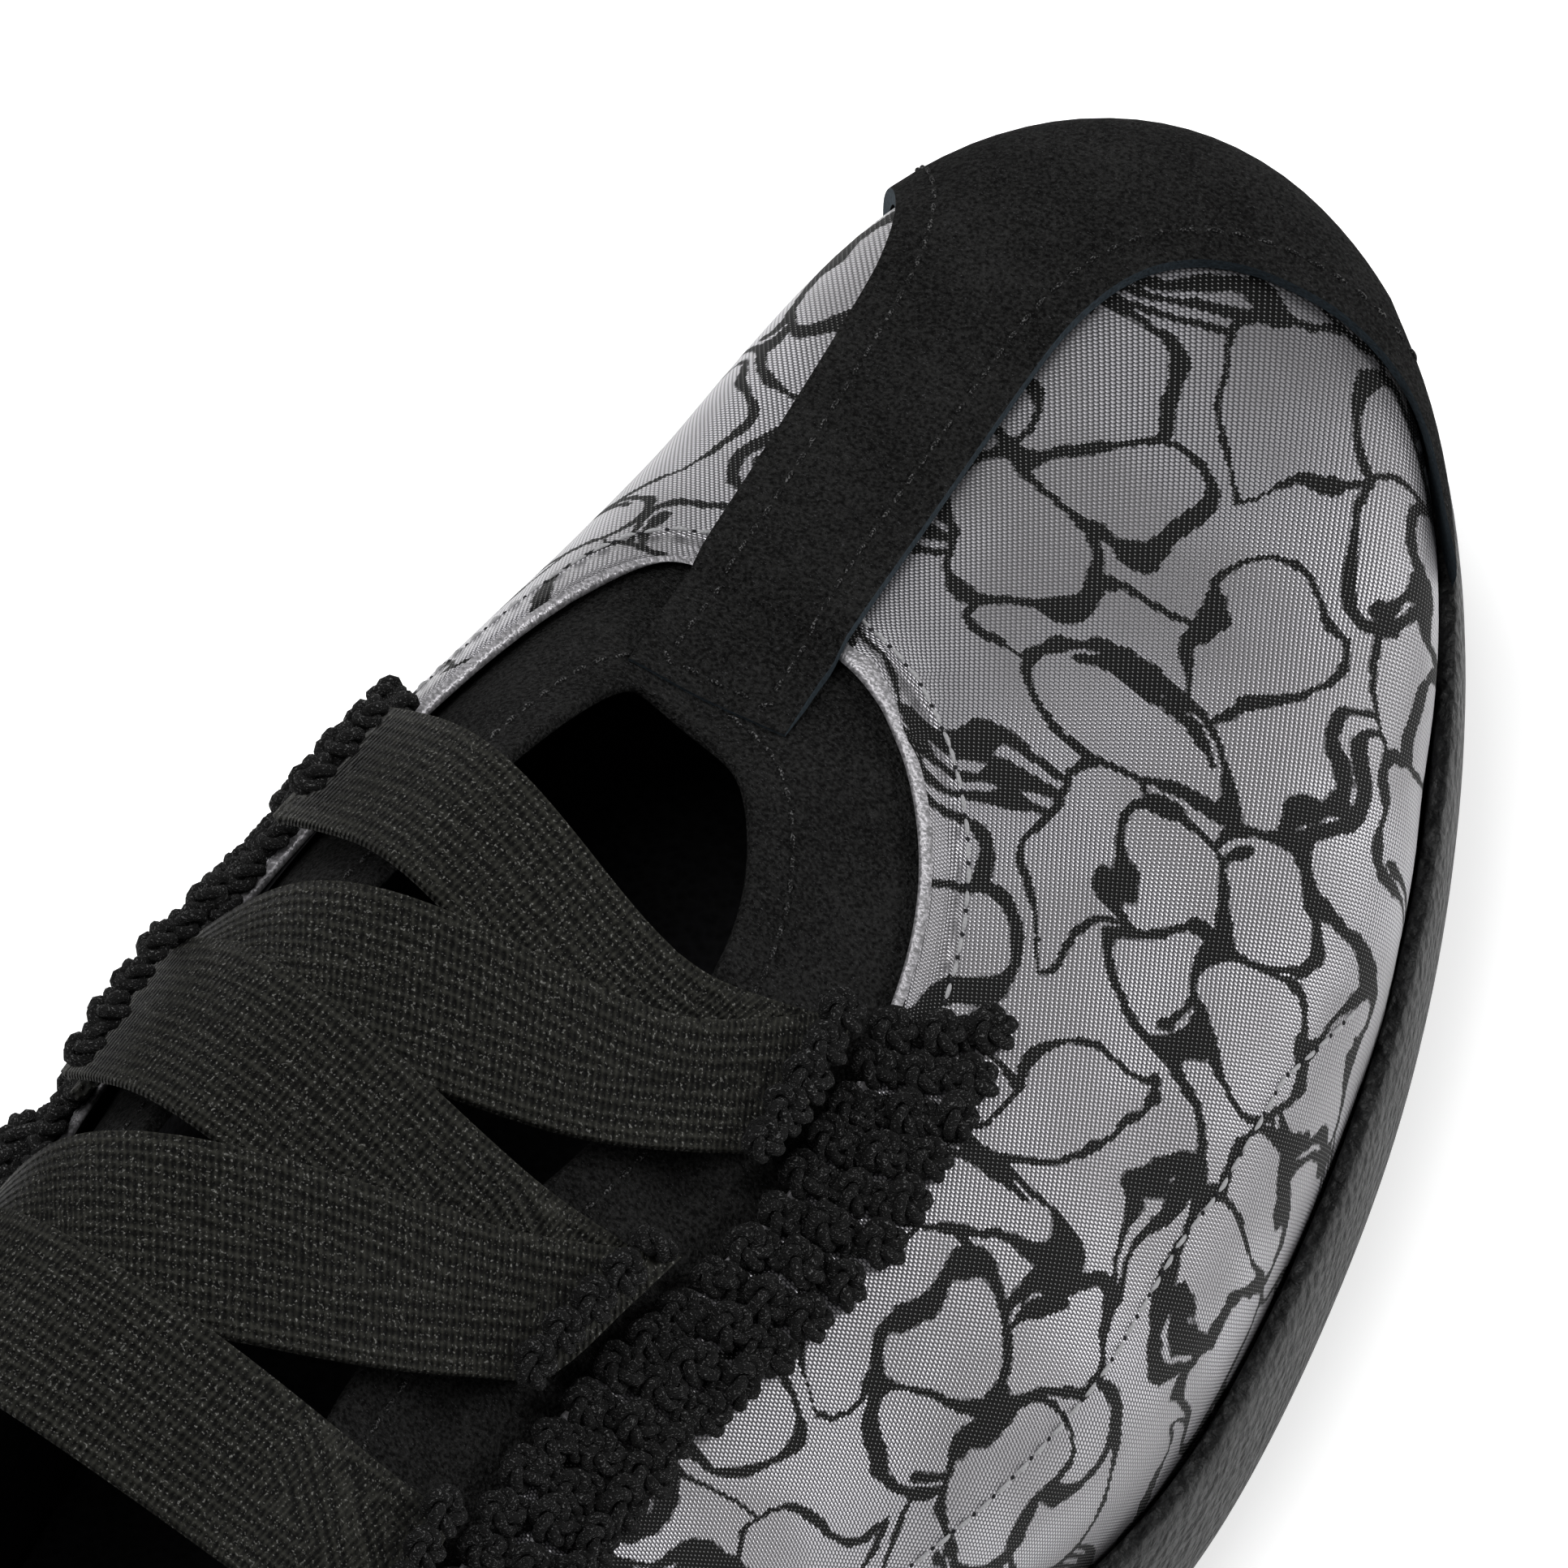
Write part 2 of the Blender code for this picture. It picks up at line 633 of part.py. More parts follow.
def build_edging(side, name, yarn):
    """The crocheted edging along the satin's edge, just outside the ends of the bands."""
    first, _ = band_anchors(0)
    last = band_anchors(BAND_COUNT - 1)[0 if side > 0 else 1]
    margin = 0.5 * BAND_WIDTH + EDGING_MARGIN
    ys = np.linspace(first + margin, last - margin, EDGING_ROWS)
    turns = turn_at(side, ys)[:, None]
    out = GAP - BAND_INSET + EDGING_WIDTH * np.linspace(0.0, 1.0, 4)[None, :]
    rises = rise_before_edge(turns, facing_width(turns) + out)
    return slab(name, lifted(turns, rises, GAP + EDGING_WALL), lifted(turns, rises, GAP), yarn)


def main():
    """Builds the whole shoe."""
    for old in list(bpy.data.objects):
        bpy.data.objects.remove(old)
    rubber = finish("rubber", (0.030, 0.031, 0.031), 0.55)
    satin = finish("satin", (0.42, 0.41, 0.44), 0.38, 0.3)
    suede = finish("suede", (0.012, 0.012, 0.013), 0.95)
    elastic = finish("elastic", (0.018, 0.018, 0.016), 0.80)
    yarn = finish("yarn", (0.014, 0.014, 0.014), 0.90)
    lining = finish("lining", (0.020, 0.020, 0.022), 0.95)
    turns = even_turns(TURNS)
    build_sole(turns, rubber)
    build_insole(even_turns(TURNS // 2), lining)
    build_upper(turns, satin)
    build_facing(turns, suede)
    build_toe_cap(turns, suede)
    build_heel_strip(suede)
    for index in range(BAND_COUNT):
        build_band(index, elastic)
    build_edging(1, "lateral_edging", yarn)
    build_edging(-1, "medial_edging", yarn)


main()
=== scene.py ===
"""Looks of the right low sneaker: satin upper, suede toe, elastic lattice, crocheted edging, rubber sole.

The frame gives every place. Sizes are in metres, apart from pattern sizes, which are in millimetres.
"""

import json
import math

import bmesh
import bpy
import numpy as np
from mathutils import Matrix, Vector
from mathutils.bvhtree import BVHTree
from mathutils.kdtree import KDTree

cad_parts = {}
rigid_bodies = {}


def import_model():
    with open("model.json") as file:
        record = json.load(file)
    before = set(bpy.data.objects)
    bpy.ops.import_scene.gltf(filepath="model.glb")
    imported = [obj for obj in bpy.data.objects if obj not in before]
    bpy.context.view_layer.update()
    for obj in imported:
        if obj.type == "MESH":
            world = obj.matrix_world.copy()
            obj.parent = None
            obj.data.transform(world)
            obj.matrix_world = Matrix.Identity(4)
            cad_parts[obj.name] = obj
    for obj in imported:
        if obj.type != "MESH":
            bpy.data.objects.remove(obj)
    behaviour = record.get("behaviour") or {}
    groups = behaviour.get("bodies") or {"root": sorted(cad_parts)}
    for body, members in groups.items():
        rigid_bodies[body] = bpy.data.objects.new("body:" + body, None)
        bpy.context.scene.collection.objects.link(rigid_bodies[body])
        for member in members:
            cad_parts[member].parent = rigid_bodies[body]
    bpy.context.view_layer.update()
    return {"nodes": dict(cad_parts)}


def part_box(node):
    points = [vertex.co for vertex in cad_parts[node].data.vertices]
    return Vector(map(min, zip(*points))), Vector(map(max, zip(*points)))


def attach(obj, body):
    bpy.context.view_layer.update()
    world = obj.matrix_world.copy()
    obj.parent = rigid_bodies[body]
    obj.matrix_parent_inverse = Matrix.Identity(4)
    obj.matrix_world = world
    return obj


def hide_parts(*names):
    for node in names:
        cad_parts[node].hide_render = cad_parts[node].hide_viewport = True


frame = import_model()


# The studio: a pale floor, broad soft lamps overhead, and a long lens that looks down on the forefoot
# from behind the medial side. The camera stays level, and its frame cuts off the rear half of the shoe.
CAMERA_TURN = math.radians(34.67)
CAMERA_RISE = math.radians(60.77)
CAMERA_DISTANCE = 1.6
CAMERA_LENS = 480.75
CAMERA_AIM = Vector((-0.01365, 0.05777, 0.03332))
FLOOR_SIZE = 6.0
FLOOR_COLOUR = (0.92, 0.92, 0.92)
FLOOR_PALE = (0.94, 0.94, 0.94)
FLOOR_GLOW = 0.45
SKY_LIGHT = 0.22
WHITE = (1.0, 1.0, 1.0)
# Each lamp's place, its two sides and its power
LAMPS = {
    "overhead": ((-0.30, -0.20, 1.15), (0.9, 0.7), 10.0),
    "medial_side": ((-0.95, 0.30, 0.65), (0.5, 0.8), 4.0),
    "lateral_front": ((0.85, 0.75, 0.60), (0.5, 0.5), 8.5),
}


class Value:
    """A number or colour inside a material. Arithmetic on it adds the Math nodes."""

    def __init__(self, dye, socket):
        self.dye = dye
        self.socket = socket

    def math(self, operation, *others):
        return self.dye.node("Math", {"operation": operation}, self, *others)

    def __add__(self, other):
        return self.math("ADD", other)

    def __sub__(self, other):
        return self.math("SUBTRACT", other)

    def __rsub__(self, other):
        return self.dye.node("Math", {"operation": "SUBTRACT"}, other, self)

    def __mul__(self, other):
        return self.math("MULTIPLY", other)

    def __rmul__(self, other):
        return self.math("MULTIPLY", other)

    def __truediv__(self, other):
        return self.math("DIVIDE", other)

    def __abs__(self):
        return self.math("ABSOLUTE")


class Dye:
    """A material being mixed: its nodes, and the shader that they feed."""

    def __init__(self, name, **constants):
        self.material = bpy.data.materials.new(name)
        self.material.use_nodes = True
        self.tree = self.material.node_tree
        self.shader = self.tree.nodes["Principled BSDF"]
        for socket, value in constants.items():
            self.feed(self.shader.inputs[self.called(socket)], value)

    def called(self, word):
        return word.replace("_", " ").title().replace("Ior", "IOR")

    def feed(self, socket, value):
        if isinstance(value, Value):
            self.tree.links.new(value.socket, socket)
        elif isinstance(value, tuple) and len(socket.default_value) > len(value):
            socket.default_value = (*value, 1.0)
        else:
            socket.default_value = value

    def node(self, kind, settings, *values, out=0, **named):
        made = self.tree.nodes.new("ShaderNode" + kind)
        for setting, choice in settings.items():
            setattr(made, setting, choice)
        for index, value in enumerate(values):
            self.feed(made.inputs[index], value)
        for socket, value in named.items():
            self.feed(made.inputs[socket], value)
        return Value(self, made.outputs[out])

    def vector(self, operation, *values, out=0):
        return self.node("VectorMath", {"operation": operation}, *values, out=out)

    def place(self):
        """Where a point of the piece is, in millimetres."""
        return self.vector("MULTIPLY", self.node("TexCoord", {}, out=3), (1000.0,) * 3)

    def cloth(self):
        """Where a point is on the cloth before it was sewn, in millimetres."""
        return self.vector("MULTIPLY", self.node("UVMap", {"uv_map": "cloth"}), (1000.0,) * 3)

    def noise(self, place, scale, detail=2.0, out=0):
        return self.node("TexNoise", {}, Vector=place, Scale=scale, Detail=detail, out=out)

    def ramp(self, value, start, end):
        """0 before start, 1 after end, and smooth between."""
        settings = {"interpolation_type": "SMOOTHSTEP"}
        return self.node("MapRange", settings, value, start, end, 0.0, 1.0)

    def blend(self, share, first, second):
        made = self.tree.nodes.new("ShaderNodeMix")
        made.data_type = "RGBA"
        self.feed(made.inputs[0], share)
        self.feed(made.inputs[6], first)
        self.feed(made.inputs[7], second)
        return Value(self, made.outputs[2])

    def bump(self, height, distance, under=None):
        """A bump whose height of 1 stands this many metres high, laid over another one."""
        made = self.node("Bump", {}, Height=height, Distance=distance, Strength=1.0)
        if under is not None:
            self.feed(made.socket.node.inputs["Normal"], under)
        return made

    def paint(self, **finishes):
        """Feeds the shader what changes over the surface."""
        for socket, value in finishes.items():
            self.feed(self.shader.inputs[self.called(socket)], value)
        return self.material


level_x, level_y = math.sin(CAMERA_TURN), -math.cos(CAMERA_TURN)
rise = math.cos(CAMERA_RISE)
toward = Vector((level_x * rise, level_y * rise, math.sin(CAMERA_RISE)))
lens = bpy.data.cameras.new("camera")
lens.sensor_width = 36.0
lens.lens = CAMERA_LENS
camera = bpy.data.objects.new("camera", lens)
camera.location = CAMERA_AIM + toward * CAMERA_DISTANCE
camera.rotation_euler = (math.pi / 2.0 - CAMERA_RISE, 0.0, CAMERA_TURN)
bpy.context.scene.collection.objects.link(camera)
bpy.context.scene.camera = camera

bpy.ops.mesh.primitive_plane_add(size=FLOOR_SIZE, location=(0.0, 0.0, 0.0))
floor = bpy.context.object
floor.name = "floor"
floor_dye = Dye("pale_floor", roughness=0.9, emission_color=WHITE, emission_strength=FLOOR_GLOW)
grain = floor_dye.noise(floor_dye.place(), 0.02)
floor.data.materials.append(floor_dye.paint(base_color=floor_dye.blend(grain, FLOOR_COLOUR, FLOOR_PALE)))

sky = bpy.data.worlds.new("studio")
sky.use_nodes = True
sky.node_tree.nodes["Background"].inputs["Color"].default_value = (*WHITE, 1.0)
sky.node_tree.nodes["Background"].inputs["Strength"].default_value = SKY_LIGHT
bpy.context.scene.world = sky
bpy.context.scene.view_settings.view_transform = "Standard"
for name, (place, size, power) in LAMPS.items():
    lamp = bpy.data.lights.new(name, "AREA")
    lamp.shape = "RECTANGLE"
    lamp.size, lamp.size_y = size
    lamp.energy = power
    stand = bpy.data.objects.new(name, lamp)
    stand.location = place
    stand.rotation_euler = (Vector(place) - CAMERA_AIM).to_track_quat("Z", "Y").to_euler()
    bpy.context.scene.collection.objects.link(stand)


# The sole: one moulding of dark rubber, a cup that takes the upper. Its side has a fine leather-like
# wrinkle, its lip is rounded, and the underside is plain.
RUBBER_COLOUR = (0.008, 0.0083, 0.0083)
RUBBER_WORN = (0.020, 0.0205, 0.0205)
RUBBER_RELIEF = 0.0008
SOLE_SHARP = 60.0
SMOOTHING = 2
MERGE = 0.00002
SQUARE_TURN = 60.0
SQUARE_SKEW = 75.0
SHARP = 50.0


def pick(piece):
    """Makes this the one selected and active object."""
    bpy.ops.object.select_all(action="DESELECT")
    piece.select_set(True)
    bpy.context.view_layer.objects.active = piece


def taken_from(node, name):
    """A piece with the form of a CAD node: its triangles merged into squares again."""
    piece = bpy.data.objects.new(name, frame["nodes"][node].data.copy())
    bpy.context.scene.collection.objects.link(piece)
    piece.data.materials.clear()
    pick(piece)
    bpy.ops.mesh.customdata_custom_splitnormals_clear()
    bpy.ops.object.mode_set(mode="EDIT")
    bpy.ops.mesh.select_mode(type="FACE")
    bpy.ops.mesh.select_all(action="SELECT")
    bpy.ops.mesh.remove_doubles(threshold=MERGE)
    turn, skew = math.radians(SQUARE_TURN), math.radians(SQUARE_SKEW)
    bpy.ops.mesh.tris_convert_to_quads(face_threshold=turn, shape_threshold=skew)
    bpy.ops.mesh.normals_make_consistent(inside=False)
    bpy.ops.object.mode_set(mode="OBJECT")
    bpy.ops.object.shade_smooth()
    return piece


def sharp_edges(piece, degrees):
    """Selects in edit mode the edges that turn by more than this, and leaves edit mode open."""
    pick(piece)
    bpy.ops.object.mode_set(mode="EDIT")
    bpy.ops.mesh.select_mode(type="EDGE")
    bpy.ops.mesh.select_all(action="DESELECT")
    bpy.ops.mesh.edges_select_sharp(sharpness=math.radians(degrees))


def smoothed(piece, crease=0.0, degrees=SHARP):
    """Subdivides a piece to its smooth form. A crease of 1 keeps the sharp edges."""
    if crease > 0.0:
        sharp_edges(piece, degrees)
        bpy.ops.transform.edge_crease(value=crease)
        bpy.ops.object.mode_set(mode="OBJECT")
    pick(piece)
    finer = piece.modifiers.new("finer", "SUBSURF")
    finer.levels = SMOOTHING
    finer.render_levels = SMOOTHING
    bpy.ops.object.modifier_apply(modifier="finer")
    bpy.ops.object.shade_smooth()
    return piece


def sharp_rows(piece):
    """The closed rows of points along a piece's sharp edges, the highest row first."""
    shape = bmesh.new()
    shape.from_mesh(piece.data)
    left = dict.fromkeys(edge for edge in shape.edges if edge.calc_face_angle(0.0) > math.radians(SHARP))
    rows = []
    while left:
        edge = left.popitem()[0]
        row = [edge.verts[0], edge.verts[1]]
        while True:
            ahead = [e for e in row[-1].link_edges if e in left]
            if not ahead:
                break
            del left[ahead[0]]
            row.append(ahead[0].other_vert(row[-1]))
        rows.append(np.array([vert.co for vert in row[:-1]]))
    shape.free()
    return sorted(rows, key=lambda row: -row[:, 2].mean())


def goes_on(piece, slot, *nodes):
    """The piece belongs to the shoe and stands for these nodes. Its slot is not used."""
    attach(piece, "root")
    if nodes:
        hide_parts(*nodes)


sole = smoothed(taken_from("sole", "rubber_sole"), crease=0.6, degrees=SOLE_SHARP)
rubber = Dye("rubber", roughness=0.5, specular_ior_level=0.22)
here = rubber.place()
wrinkle = rubber.node("TexVoronoi", {"feature": "SMOOTH_F1"}, Vector=here, Scale=0.9, Smoothness=0.4)
fine = rubber.noise(here, 1.6, 4.0)
worn = rubber.noise(here, 0.09, 3.0)
relief = wrinkle * 0.7 + fine * 0.6
rubber_finish = rubber.paint(
    base_color=rubber.blend(rubber.ramp(worn + fine * 0.3, 0.55, 0.85), RUBBER_COLOUR, RUBBER_WORN),
    roughness=rubber.ramp(fine, 0.2, 0.9) * 0.25 + 0.42,
    normal=rubber.bump(relief, RUBBER_RELIEF),
)
sole.data.materials.append(rubber_finish)
goes_on(sole, "rubber", "sole")


# The insole: a thin footbed of dark knit over foam, which lies in the tray of the sole.
LINING_COLOUR = (0.010, 0.010, 0.011)
LINING_LOOP = (0.022, 0.022, 0.024)
LINING_RELIEF = 0.0002

lining = Dye("knit_lining", roughness=0.95, specular_ior_level=0.1)
here = lining.place()
loops = lining.node("TexVoronoi", {}, Vector=here, Scale=1.4)
lining_finish = lining.paint(
    base_color=lining.blend(loops, LINING_COLOUR, LINING_LOOP),
    normal=lining.bump(loops, LINING_RELIEF),
)
insole = smoothed(taken_from("insole", "footbed"), crease=0.7)
insole.data.materials.append(lining_finish)
goes_on(insole, "lining", "insole")


# The upper: silver satin jacquard over a dark lining, sewn into one wall. Black outlines of blossoms
# and leaves are woven into it, and the satin stands slightly proud between them. Its edge is rolled in.
SATIN_COLOUR = (0.070, 0.069, 0.076)
SATIN_FLOAT = (0.60, 0.59, 0.62)
SATIN_SHADE = (0.18, 0.175, 0.18)
SATIN_BLACK = (0.0015, 0.0015, 0.0015)
SATIN_FLECK = (0.20, 0.20, 0.20)
FOLD_COLOUR = (0.22, 0.217, 0.225)
FOLD_LIGHT = (0.42, 0.41, 0.43)
FLOAT_RELIEF = 0.00005
PUFF_RELIEF = 0.0005
HEM_RELIEF = 0.0009
FOLD_RELIEF = 0.0001
THREAD_LONG = 0.50
THREAD_WIDE = 0.31
LINE_HALF = 0.39
LINE_VARY = 0.60
HEM_WIDTH = 3.3
SWAY = 10.0
TREMBLE = 0.9
ENLARGED = 1.22
REPEAT = ((44.0, 7.0), (-11.0, 39.0))
# A row for each leaf or petal from the lowest up: middle in millimetres, turn in degrees,
# half length and half width, how much wider its far end is, and how far its inner ripple lies in
SHAPES = ("x", "y", "turn", "long", "wide", "flare", "ripple")
LEAVES = (
    (14.0, -9.0, 25.0, 10.0, 5.6, 0.10, 0.0),
    (30.0, 10.0, -55.0, 9.5, 5.2, -0.15, 0.0),
    (12.0, 16.0, 95.0, 9.0, 5.4, 0.20, 0.0),
    (-9.0, 13.0, 140.0, 8.6, 4.6, 0.10, 1.5),
    (22.0, -1.0, 80.0, 8.0, 4.4, 0.15, 0.0),
    (8.0, 27.0, 10.0, 8.8, 4.4, -0.10, 1.4),
)
# A row for each blossom: middle, turn, how far out its petals lie, and their half length and half width
BLOSSOMS = (
    (0.0, 0.0, 14.0, 6.3, 6.2, 5.0),
    (23.5, 19.5, 40.0, 5.4, 5.4, 4.3),
)
PETALS = 5
PETAL_FLARE = 0.22
PETAL_RIPPLE = 1.3
# Groups of fine lines that run side by side between the blossoms: where each line lies, in repeats
STEM_SWING = 0.07
STEMS_ALONG = (0.300, 0.342, 0.378)
STEMS_UP = (0.700, 0.738)
# Soft creases, in plan millimetres: from x, y to x, y, how deep, and how wide
CREASES = (
    (6.0, 66.0, 22.0, 60.0, 0.45, 4.5),
    (12.0, 80.0, 29.0, 73.0, -0.30, 6.0),
    (10.0, 92.0, 24.0, 90.0, 0.30, 5.0),
    (24.0, 52.0, 36.0, 34.0, 0.40, 4.0),
    (-33.0, 76.0, -26.0, 62.0, 0.40, 4.0),
    (28.0, 12.0, 37.0, -6.0, 0.50, 5.0),
    (-33.0, 8.0, -29.0, -12.0, 0.45, 5.0),
    (24.0, -62.0, 31.0, -40.0, 0.50, 6.0),
    (-28.0, -70.0, -26.0, -48.0, 0.50, 6.0),
)
HEEL_MARGIN = 0.004
TOE_FROM = 0.07
# A spot inside the toe, from where the lining is overhead, and the four kinds of face that seams part
FOOT_ROOM = Vector((-0.010, 0.080, 0.024))
OUTER, INNER, ROLLED, TUCKED = range(4)
UPRIGHT = 0.01


def rim_distance(piece, rows, name):
    """Notes at each corner how far it is from the nearest of these closed rows, in millimetres."""
    shares = np.linspace(0.0, 0.95, 20)
    spots = np.concatenate([row + (np.roll(row, -1, 0) - row) * share for row in rows for share in shares])
    near = KDTree(len(spots))
    for index, spot in enumerate(spots):
        near.insert(spot, index)
    near.balance()
    note = piece.data.attributes.new(name, "FLOAT", "POINT")
    note.data.foreach_set("value", [near.find(vert.co)[2] * 1000.0 for vert in piece.data.vertices])


def unwrapped(piece, guide):
    """Lays the piece's faces flat in the UV map called cloth, in metres.

    guide tells of a face whether the flat cloth is turned and sized to match the plan there.
    """
    pick(piece)
    while piece.data.uv_layers:
        piece.data.uv_layers.remove(piece.data.uv_layers[0])
    piece.data.uv_layers.new(name="cloth")
    bpy.ops.object.mode_set(mode="EDIT")
    bpy.ops.mesh.select_all(action="SELECT")
    bpy.ops.uv.unwrap(method="ANGLE_BASED", margin=0.01)
    bpy.ops.object.mode_set(mode="OBJECT")
    mesh = piece.data
    corners = np.zeros(len(mesh.loops), int)
    mesh.loops.foreach_get("vertex_index", corners)
    points = np.zeros(len(mesh.vertices) * 3)
    mesh.vertices.foreach_get("co", points)
    points = points.reshape(-1, 3)[corners]
    flat = np.zeros(len(mesh.loops) * 2)
    mesh.uv_layers["cloth"].data.foreach_get("uv", flat)
    flat = flat[0::2] + 1j * flat[1::2]
    chosen = np.zeros(len(mesh.loops), bool)
    run, laid = 0.0, 0.0
    for face in mesh.polygons:
        if guide(face):
            loops = list(face.loop_indices)
            chosen[loops] = True
            after = loops[1:] + loops[:1]
            run += np.linalg.norm(points[after] - points[loops], axis=1).sum()
            laid += np.abs(flat[after] - flat[loops]).sum()
    seen = points[chosen, 0] + 1j * points[chosen, 1]
    there = flat[chosen]
    turned = np.vdot(there - there.mean(), seen - seen.mean())
    flat = (flat - there.mean()) * (turned / abs(turned)) * (run / laid)
    mesh.uv_layers["cloth"].data.foreach_set("uv", np.stack([flat.real, flat.imag], 1).ravel())


def side_faces(piece, start):
    """Selects all the faces that no seam parts from a first one."""
    pick(piece)
    for polygon in piece.data.polygons:
        polygon.select = polygon.index == start
    bpy.ops.object.mode_set(mode="EDIT")
    bpy.ops.mesh.select_mode(type="FACE")
    bpy.ops.mesh.select_linked(delimit={"SEAM"})
    bpy.ops.object.mode_set(mode="OBJECT")
    return [polygon for polygon in piece.data.polygons if polygon.select]


upper = taken_from("upper", "satin_upper")
heel_x = 0.5 * (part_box("heel_strip")[0].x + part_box("heel_strip")[1].x)
heel_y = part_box("heel_strip")[1].y + HEEL_MARGIN
pick(upper)
for face in upper.data.polygons:
    face.select = face.center.y < heel_y
bpy.ops.object.mode_set(mode="EDIT")
bpy.ops.mesh.bisect(plane_co=(heel_x, 0.0, 0.0), plane_no=(1.0, 0.0, 0.0))
bpy.ops.mesh.select_mode(type="EDGE")
bpy.ops.mesh.select_all(action="DESELECT")
bpy.ops.object.mode_set(mode="OBJECT")
for edge in upper.data.edges:
    ends = [upper.data.vertices[index].co for index in edge.vertices]
    edge.select = all(abs(end.x - heel_x) < MERGE and end.y < heel_y for end in ends)
bpy.ops.object.mode_set(mode="EDIT")
bpy.ops.mesh.mark_seam(clear=False)
bpy.ops.object.mode_set(mode="OBJECT")
sharp_edges(upper, SHARP)
bpy.ops.mesh.mark_seam(clear=False)
bpy.ops.object.mode_set(mode="OBJECT")
unwrapped(upper, lambda face: face.normal.z > 0.5 and face.center.y > TOE_FROM)

up = Vector((0.0, 0.0, 1.0))
satin_edge = sharp_rows(upper)[0]
inner_face = upper.ray_cast(FOOT_ROOM, up)[3]
outer_face = upper.ray_cast(FOOT_ROOM + up, -up)[3]
for face in upper.data.polygons:
    face.material_index = ROLLED
for face in side_faces(upper, inner_face):
    face.material_index = INNER
for face in side_faces(upper, outer_face):
    face.material_index = TUCKED if abs(face.normal.z) < UPRIGHT else OUTER
outer_rim, inner_rim = ({tuple(np.round(point, 6)) for point in row} for row in sharp_rows(upper)[:2])
for face in upper.data.polygons:
    ends = {tuple(np.round(upper.data.vertices[index].co, 6)) for index in face.vertices}
    if ends & outer_rim and ends & inner_rim:
        face.material_index = ROLLED
smoothed(upper)

for x0, y0, x1, y1, deep, wide in CREASES:
    start, run = Vector((x0, y0)) * 0.001, Vector((x1 - x0, y1 - y0)) * 0.001
    moves = []
    for vert in upper.data.vertices:
        spot = vert.co.xy - start
        share = min(1.0, max(0.0, spot.dot(run) / run.length_squared))
        off = (spot - run * share).length * 1000.0 / wide
        moves.append(vert.normal * (-0.001 * deep * math.exp(-off * off)))
    for vert, move in zip(upper.data.vertices, moves):
        vert.co += move
rim_distance(upper, [satin_edge], "hem")

satin = Dye("satin_jacquard", roughness=0.36, specular_ior_level=0.15)
flat = satin.cloth()
threads = satin.vector("SNAP", flat, (THREAD_LONG * 0.5, THREAD_WIDE, 1.0))
sway = satin.noise(threads, 0.10, 0.0, out=1)
tremble = satin.noise(threads, 0.55, 1.0, out=1)
drawn = satin.vector("MULTIPLY_ADD", sway, (SWAY, SWAY, 0.0), threads)
drawn = satin.vector("MULTIPLY_ADD", tremble, (TREMBLE, TREMBLE, 0.0), drawn)
drawn = satin.vector("MULTIPLY", drawn, (1.0 / ENLARGED, 1.0 / ENLARGED, 1.0))
grid = np.linalg.inv(np.array(REPEAT).T)
turns_x = satin.vector("DOT_PRODUCT", drawn, (grid[0, 0], grid[0, 1], 0.0), out=1)
turns_y = satin.vector("DOT_PRODUCT", drawn, (grid[1, 0], grid[1, 1], 0.0), out=1)
turns = satin.node("CombineXYZ", {}, turns_x, turns_y)
shapes = [dict(zip(SHAPES, row)) for row in LEAVES]
for x, y, start, out, long, wide in BLOSSOMS:
    for petal in range(PETALS):
        turn = start + 360.0 / PETALS * petal
        way = math.radians(turn)
        place = (x + out * math.cos(way), y + out * math.sin(way))
        shapes.append(dict(zip(SHAPES, (*place, turn, long, wide, PETAL_FLARE, PETAL_RIPPLE * (petal % 2)))))
split = satin.node("SeparateXYZ", {}, turns)
turns_u, turns_v = split, Value(satin, split.socket.node.outputs[1])
bow_v = turns_v - (turns_u * math.tau).math("SINE") * STEM_SWING
bow_u = turns_u - (turns_v * math.tau).math("SINE") * STEM_SWING
cell = abs(np.linalg.det(np.array(REPEAT)))
stems = [abs((bow_v - at).math("WRAP", 0.5, -0.5)) * (cell / math.hypot(*REPEAT[0])) for at in STEMS_ALONG]
stems += [abs((bow_u - at).math("WRAP", 0.5, -0.5)) * (cell / math.hypot(*REPEAT[1])) for at in STEMS_UP]
gap_to_line = stems[0]
for stem in stems[1:]:
    gap_to_line = gap_to_line.math("MINIMUM", stem)
for shape in shapes:
    middle = grid @ np.array([shape["x"], shape["y"]])
    off = satin.vector("SUBTRACT", turns, (middle[0], middle[1], 0.0))
    off = satin.vector("WRAP", off, (0.5, 0.5, 0.5), (-0.5, -0.5, -0.5))
    way = math.radians(shape["turn"])
    across = np.array([[math.cos(way), math.sin(way)], [-math.sin(way), math.cos(way)]])
    local = across @ np.array(REPEAT).T / np.array([[shape["long"]], [shape["wide"]]])
    along = satin.vector("DOT_PRODUCT", off, (local[0, 0], local[0, 1], 0.0), out=1)
    aside = satin.vector("DOT_PRODUCT", off, (local[1, 0], local[1, 1], 0.0), out=1)
    aside = aside / along.math("MULTIPLY_ADD", shape["flare"], 1.0)
    if shape["ripple"] or shape["flare"] > 0.2:
        reach = (along * along + aside * aside).math("SQRT")
    else:
        reach = along * along + abs(aside)
    broad = 0.5 * (shape["long"] + shape["wide"])
    depth = reach.math("MULTIPLY_ADD", -broad, broad)
    line = abs(depth)
    if shape["ripple"]:
        ripple = abs(depth - shape["ripple"]) + satin.ramp(aside, 0.35, 0.0) * 3.0
        line = line.math("MINIMUM", ripple)
    gap_to_line = line.math("MINIMUM", depth.math("MAXIMUM", gap_to_line))
thicker = satin.noise(threads, 0.16, 1.0)
half = satin.ramp(thicker, 0.40, 0.70) * LINE_VARY + LINE_HALF
black = 1.0 - satin.ramp(gap_to_line - half, -0.06, 0.06)
